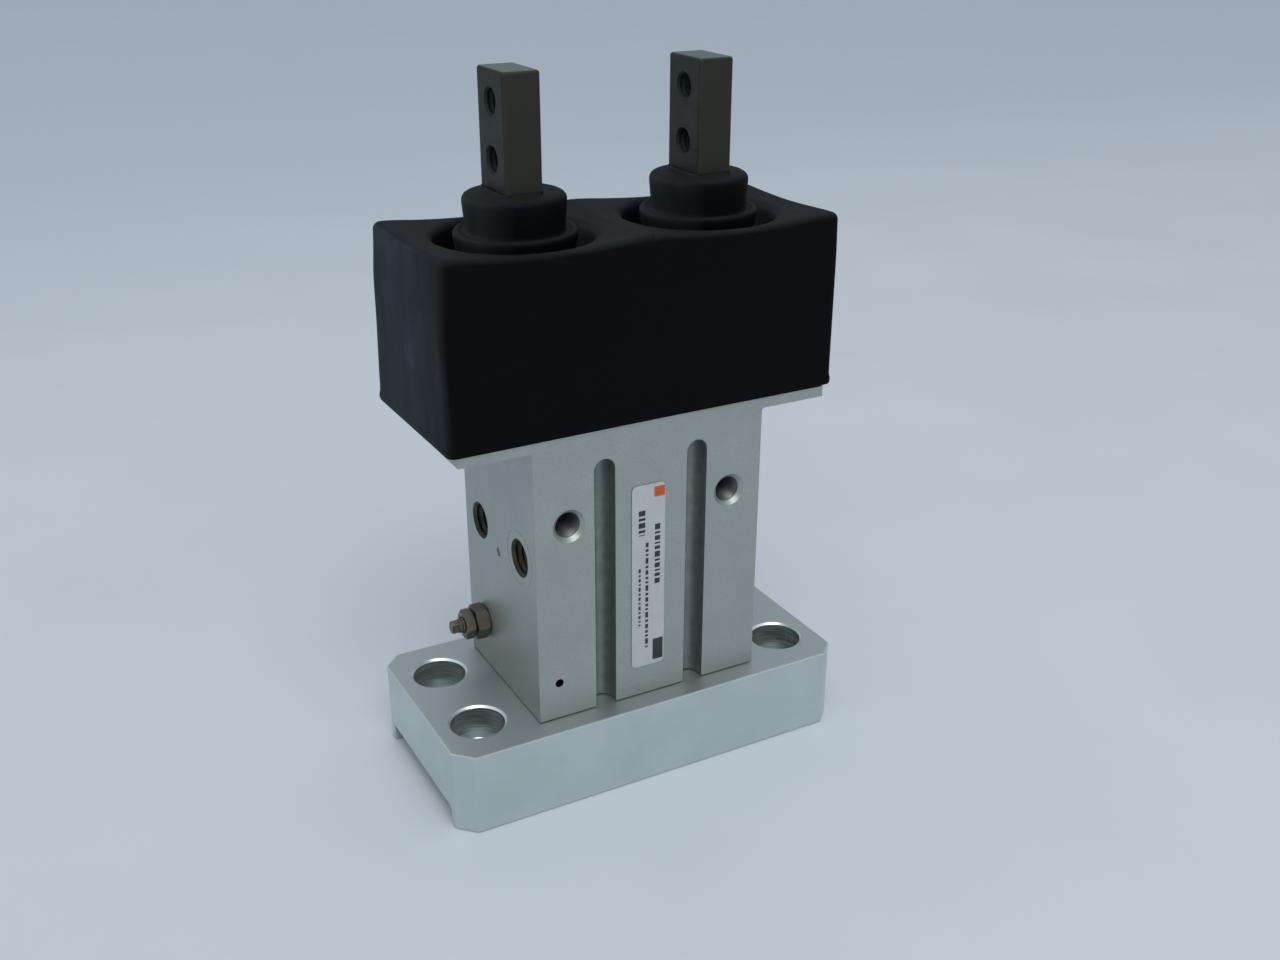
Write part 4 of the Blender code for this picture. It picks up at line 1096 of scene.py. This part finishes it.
def wedge_room(side, slider_low):
    """The space between a slider's cheeks, whose far side is parallel to the wedge's side."""
    cam_low, cam_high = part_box("wedge_cam")
    cam_middle = (cam_low.z + cam_high.z) / 2
    wall = (CAM_PIN_RADIUS + GAP + CAM_WALL + GAP) / math.cos(math.atan(CAM_SLOPE))
    low, high = slider_low - OVERRUN, SLIDER_TOP + 0.5 * MM
    lower, upper = [side * (CAM_PIN_X - CAM_SLOPE * (z - cam_middle) + wall) for z in (low, high)]
    half = cam_high.y + GAP
    outline = [(0.0, low), (lower, low), (upper, high), (0.0, high)]
    return prism("wedge_room", outline, -half, half, 1)


def pin_hole(name):
    """Room for a finger's pin, right through its slider."""
    radius = outer_radius(name) + GAP
    reach = SLIDER_HALF_DEPTH + OVERRUN
    centre = middle(name)
    return rod("pin_hole", radius, reach, -reach, (centre.x, 0.0, centre.z), (0, 1, 0))


def oval(half_x, half_y, power, z, centre_x):
    """A ring at height z. Power 2 gives an ellipse, and a high power nearly a rectangle."""
    points = []
    for k in range(ROUND):
        angle = 2 * math.pi * (k + 0.5) / ROUND
        c, s = math.cos(angle), math.sin(angle)
        reach = (abs(c / half_x) ** power + abs(s / half_y) ** power) ** (-1 / power)
        points.append((centre_x + reach * c, reach * s, z))
    return points


def build_boot(label, side):
    """A rubber collar: a drum with a flared shoulder, and a lip that lies against the finger."""
    x = side * FINGER_X
    drum_x = x + BOOT_LEAN[label]
    low = bottom(f"boot_{label}")
    rings = [oval(NECK_RADIUS, NECK_RADIUS, 2, z, x) for z in (low, BOOT_SEAT)]
    for radius, z in BOOT_DRUM:
        rings.append(oval(radius * MM, radius * MM, 2, z * MM, drum_x))
    half_x, half_y = FINGER_HALF
    for wall, power, z in BOOT_LIP:
        rings.append(oval(half_x + wall * MM, half_y + wall * MM, power, z * MM, x))
    rings.append(oval(half_x + GAP, half_y + GAP, 14, low, x))
    boot = loft(f"rubber_boot_{label}", rings, closed=True)
    shade(boot, 60)
    stand_in(boot, LOOKS["rubber"], f"finger_{label}_group", "cover_rubber", f"boot_{label}")


# -------- dust cover

COVER_LOW = bottom("dust_cover")
COVER_REACH = COVER_HALF_LENGTH - FINGER_X


def fillet(distance, radius):
    """How far a rounded edge drops at a distance from the wall."""
    inward = max(radius - distance, 0.0)
    return radius - math.sqrt(radius ** 2 - min(inward, radius) ** 2)


def wall_line():
    """Points along a half cover's outer wall, as (outward, y), from the middle of the front
    round the end to the middle of the back. Outward is counted from the well's centre."""
    straight, turns = 44, 6
    r = COVER_CORNER
    depth = COVER_HALF_DEPTH
    end, side = COVER_REACH - r, depth - r
    span = end + FINGER_X
    points = [(-FINGER_X + span * k / straight, -depth) for k in range(straight)]
    points += [arc_point(end, -side, r, -90 + 90 / turns * k) for k in range(turns)]
    points += [(COVER_REACH, -side + 2 * side * k / straight) for k in range(straight)]
    points += [arc_point(end, side, r, 90 / turns * k) for k in range(turns)]
    points += [(end - span * k / straight, depth) for k in range(straight + 1)]
    return points


def seam_line():
    """Points across the cover's middle, from the back to the front, without its ends."""
    count = 40
    depth = COVER_HALF_DEPTH
    return [(-FINGER_X, depth - 2 * depth * k / count) for k in range(1, count)]


def edge_distance(u, v):
    """How far a point is inside the half cover's outer wall."""
    r = COVER_CORNER
    over_u, over_v = u - (COVER_REACH - r), abs(v) - (COVER_HALF_DEPTH - r)
    outside = math.hypot(max(over_u, 0.0), max(over_v, 0.0))
    return r - outside - min(max(over_u, over_v), 0.0)


def smooth(value):
    """A soft step from 0 to 1."""
    share = min(max(value, 0.0), 1.0)
    return share * share * (3 - 2 * share)


def cover_height(u, v, side):
    """The top surface, lowest round the wells and highest in the corners."""
    x = side * (FINGER_X + u)
    tilt = COVER_TILT * x / COVER_HALF_LENGTH - COVER_LEAN * v / COVER_HALF_DEPTH
    crest_x, crest_reach, crest_height = COVER_CREST
    crest = crest_height * smooth(1 - abs(x - crest_x) / crest_reach)
    crest *= smooth(v / COVER_HALF_DEPTH)
    rise = COVER_RISE * smooth((math.hypot(u, v) - WELL_RADIUS) / COVER_RISE_REACH)
    return COVER_LEVEL + tilt + crest + rise


def worn(x, y, z):
    """Moves a point of the cover's walls to where years of use have bent it.

    The left end leans in at its top and is twisted below, the right end stands out, the
    lower rim turns out and hangs down at the front left, and the long sides are hollow.
    """
    above = z - COVER_LOW
    left = smooth(-x / COVER_HALF_LENGTH * 4 - 3)
    right = smooth(x / COVER_HALF_LENGTH * 4 - 3)
    front = 0.5 - 0.5 * y / COVER_HALF_DEPTH
    inward = LEFT_PINCH * left * smooth((z - 74 * MM) / (8 * MM))
    inward -= RIGHT_SWELL * right + RIGHT_FLARE * right * smooth((z - 76 * MM) / (6 * MM))
    inward -= LEFT_TWIST * left * (1 - 2 * front) * (1 - smooth(above / (15 * MM)))
    rim = RIM_FLARE * max(0.0, 1 - ((above - 0.6 * MM) / (0.7 * MM)) ** 2)
    leftward = 0.5 - 0.5 * x / COVER_HALF_LENGTH
    hang = FRONT_HANG * front * leftward * (1 - smooth(above / (3 * MM)))
    share = min(max(above / (COVER_LEVEL - COVER_LOW), 0.0), 1.0)
    hollow = SIDE_HOLLOW * math.sin(math.pi * share) * (1 - (x / COVER_HALF_LENGTH) ** 2)
    new_x = x + inward + rim * x / COVER_HALF_LENGTH
    new_y = y + rim * y / COVER_HALF_DEPTH - math.copysign(hollow, y)
    return (new_x, new_y, z - hang)


def placed(side, u, v, z):
    return (side * (FINGER_X + u), v, z)


def build_half_top(label, side):
    """The cover above the split on one side, closed by flat faces below and in the middle."""
    outline = wall_line() + seam_line()
    rings = well_rings(side, outline) + rim_rings(side, outline)
    rings += upper_wall_rings(side, outline, rings[-1])
    half = loft(f"cover_top_{label}", rings)
    edit_mesh(half, close_ends)
    cut_cavity(half, side)
    return half


def well_rings(side, outline):
    """The well's floor, its round corner and its wall, as rings on the lines to the outline."""

    def radial(radius, z):
        ring = []
        for u, v in outline:
            length = math.hypot(u, v)
            ring.append(placed(side, u / length * radius, v / length * radius, z))
        return ring

    corner = WELL_CORNER
    steps = 5
    rings = [[placed(side, 0.0, 0.0, WELL_FLOOR)]]
    rings += [radial(radius, WELL_FLOOR) for radius in (5.0 * MM, 8.0 * MM)]
    for step in range(steps + 1):
        angle = math.pi / 2 * step / steps
        out = WELL_RADIUS - 0.25 * MM - corner * (1 - math.sin(angle))
        rings.append(radial(out, WELL_FLOOR + corner * (1 - math.cos(angle))))
    rings += [radial(WELL_RADIUS - 0.12 * MM, z) for z in (79.6 * MM, 80.3 * MM)]
    return rings


def rim_rings(side, outline):
    """The top surface from the well's rim to the cover's outer edge."""
    spread = [0.0, 0.04, 0.14, 0.32, 0.6, 1.0]
    stations = [("rim", share) for share in spread]
    stations += [("flat", share) for share in (0.25, 0.5, 0.75)]
    stations += [("edge", share) for share in reversed(spread)]
    rings = []
    for zone, share in stations:
        ring = []
        for u, v in outline:
            out = rim_distance(zone, share, math.hypot(u, v) - WELL_RADIUS)
            scale = (WELL_RADIUS + out) / math.hypot(u, v)
            u, v = u * scale, v * scale
            z = cover_height(u, v, side) - fillet(out, COVER_RIM)
            z -= fillet(edge_distance(u, v), COVER_EDGE)
            ring.append(worn(*placed(side, u, v, z)))
        rings.append(ring)
    return rings


def rim_distance(zone, share, width):
    """How far from the well a station lies, on a line of the given width to the outer wall."""
    inner = min(COVER_RIM, 0.45 * width)
    outer = min(1.15 * COVER_EDGE, 0.45 * width)
    if zone == "rim":
        return share * inner
    if zone == "flat":
        return inner + (width - inner - outer) * share
    return width - share * outer


def upper_wall_rings(side, outline, crest):
    """The outer wall and the middle face, from the top edge down to the split."""
    walls = len(wall_line())
    rings = []
    for share in (0.25, 0.5, 0.75, 1.0):
        ring = []
        for (u, v), (_, _, start) in zip(outline, crest):
            ring.append(placed(side, u, v, start + (COVER_SPLIT - start) * share))
        ring[:walls] = [worn(*point) for point in ring[:walls]]
        rings.append(ring)
    return rings


def cut_cavity(half, side):
    """Hollows a half cover out, and opens the well's floor for the finger."""
    wall = COVER_WALL
    near, far = across(side, -OVERRUN, COVER_HALF_LENGTH - wall)
    roof = COVER_LEVEL - wall
    depth = COVER_HALF_DEPTH - wall
    cavity = block("cavity", (near, -depth, COVER_SPLIT - OVERRUN), (far, depth, roof))
    centre = (side * FINGER_X, 0.0, 0.0)
    underside = WELL_FLOOR - WELL_FLOOR_THICKNESS
    cut(cavity, rod("cup", WELL_RADIUS + 1.2 * MM, roof + OVERRUN, underside, centre, sides=ROUND))
    neck = NECK_RADIUS + 0.15 * MM
    low, high = COVER_SPLIT - OVERRUN, WELL_FLOOR + OVERRUN
    cut(half, cavity, rod("opening", neck, high, low, centre, sides=ROUND))


def copy_of(obj, name):
    twin = bpy.data.objects.new(name, obj.data.copy())
    bpy.context.scene.collection.objects.link(twin)
    return twin


def build_cover():
    build_skirt()
    for label, side in SIDES.items():
        half = build_half_top(label, side)
        outer_piece = copy_of(half, f"cover_top_{label}_outer")
        inner_piece = copy_of(half, f"cover_top_{label}_inner")
        bpy.data.objects.remove(half, do_unlink=True)
        for piece, direction in ((outer_piece, side), (inner_piece, -side)):
            edit_mesh(piece, lambda shape: keep_beyond(shape, side * FINGER_X, direction))
            shade(piece, 40)
            piece.data.materials.clear()
            piece.data.materials.append(LOOKS["rubber"])
            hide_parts("dust_cover")
        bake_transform(outer_piece)
        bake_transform(inner_piece)


def build_skirt():
    """The cover's walls below the split."""
    low = COVER_LOW
    right = [(FINGER_X + u, v) for u, v in wall_line()]
    left = [(-x, v) for x, v in reversed(right)]
    outline = right[1:] + left[1:]
    heights = [0.0, 0.25, 0.6, 1.0, 1.5, 2.2, 4.5, 7.5, 10.5, 13.5, 16.2]
    levels = [low + h * MM for h in heights] + [COVER_SPLIT]
    rings = [[worn(x, y, z) for x, y in outline] for z in levels]
    length, depth = COVER_HALF_LENGTH - COVER_WALL, COVER_HALF_DEPTH - COVER_WALL
    inner = [(min(max(x, -length), length), min(max(y, -depth), depth)) for x, y in outline]
    for z in (COVER_SPLIT, low):
        rings.append([(x, y, worn(x, y, z)[2]) for x, y in inner])
    skirt = loft("cover_skirt", rings, closed=True)
    shade(skirt, 40)
    stand_in(skirt, LOOKS["rubber"], "base", "cover_rubber", "dust_cover")


# -------- carried-over CAD parts

CARRIED = {
    "bright": ["guide_rail_front", "guide_rail_rear", "cap_snap_ring", "passage_plug", "wedge_cam",
               "piston_rod", "piston_nut", "cam_pin_left", "cam_pin_right"],
    "black": ["cam_screw"] + [f"{kind}_screw_{n}" for kind in ("plate", "guide") for n in range(1, 5)],
    "milled": ["cylinder_cap", "piston"],
    "seal": ["cap_seal", "rod_seal", "piston_seal"],
    "bumper": ["lower_bumper", "upper_bumper"],
    "bush": ["rod_bush"],
    "magnet": ["piston_magnet"],
}


def dress_carried_parts():
    for look, names in CARRIED.items():
        for name in names:
            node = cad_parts[name]
            for slot in node.material_slots:
                slot.material = LOOKS[look]


# -------- stage, light and camera


def build_stage():
    """A pale floor, with painted shade that makes it a little darker far behind the object."""
    shape = bmesh.new()
    bmesh.ops.create_grid(shape, x_segments=8, y_segments=8, size=3.0)
    floor = add_piece("floor", shape)
    floor.location.z = -0.02 * MM
    look = Look("floor", Specular_IOR_Level=0.3)
    cloud = look.noise(60 * MM, detail=4.0)
    near = look.blend(cloud, (0.61, 0.67, 0.73), (0.64, 0.70, 0.76))
    # Painted shade: the floor darkens far behind, where the light falls off.
    painted_far_shade = look.spread(look.along("Y"), 220 * MM, 460 * MM, 0.0, 1.0)
    look.set("Base Color", look.blend(painted_far_shade, near, (0.55, 0.62, 0.70)))
    look.set("Roughness", look.spread(cloud, 0.0, 1.0, 0.45, 0.55))
    floor.data.materials.append(look.material)


def add_light(name, place, target, size, power, colour):
    data = bpy.data.lights.new(name, "AREA")
    data.shape = "DISK"
    data.size = size
    data.energy = power
    data.color = colour
    lamp = bpy.data.objects.new(name, data)
    lamp.location = place
    direction = Vector(target) - Vector(place)
    lamp.rotation_euler = direction.to_track_quat("-Z", "Y").to_euler()
    bpy.context.scene.collection.objects.link(lamp)


def build_world():
    """A dim wall all round at low angles, and a bright ceiling."""
    world = bpy.data.worlds.new("soft_light")
    world.use_nodes = True
    nodes, links = world.node_tree.nodes, world.node_tree.links
    split = nodes.new("ShaderNodeSeparateXYZ")
    links.new(nodes.new("ShaderNodeTexCoord").outputs["Generated"], split.inputs["Vector"])
    ramp = nodes.new("ShaderNodeValToRGB")
    ramp.color_ramp.interpolation = "EASE"
    ramp.color_ramp.elements[0].position = 0.45
    ramp.color_ramp.elements[0].color = (0.34, 0.385, 0.43, 1.0)
    ramp.color_ramp.elements[1].position = 0.85
    ramp.color_ramp.elements[1].color = (0.78, 0.80, 0.82, 1.0)
    links.new(split.outputs["Z"], ramp.inputs["Fac"])
    links.new(ramp.outputs["Color"], nodes["Background"].inputs["Color"])
    bpy.context.scene.world = world


def build_lights():
    build_world()
    aim = (0.0, 0.0, 40 * MM)
    add_light("front", (-0.14, -0.48, 0.72), aim, 0.55, 2.4, (1.0, 0.995, 0.98))


def build_camera():
    data = bpy.data.cameras.new("camera")
    data.lens = CAMERA_LENS
    data.sensor_width = CAMERA_SENSOR
    data.shift_y = CAMERA_SHIFT
    data.clip_start = 10 * MM
    camera = bpy.data.objects.new("camera", data)
    camera.location = CAMERA_PLACE
    turn = Matrix.Rotation(math.radians(CAMERA_AZIMUTH), 4, "Z")
    tilt = Matrix.Rotation(math.radians(90 - CAMERA_ELEVATION), 4, "X")
    roll = Matrix.Rotation(math.radians(CAMERA_ROLL), 4, "Z")
    camera.rotation_euler = (turn @ tilt @ roll).to_euler()
    bpy.context.scene.collection.objects.link(camera)
    bpy.context.scene.camera = camera


def main():
    bpy.context.scene.view_settings.view_transform = "Standard"
    build_camera()
    build_plate()
    build_body()
    build_label()
    build_needle()
    for label, side in SIDES.items():
        build_finger(label, side)
        build_boot(label, side)
    build_cover()
    dress_carried_parts()
    build_stage()
    build_lights()


main()

bpy.context.view_layer.update()
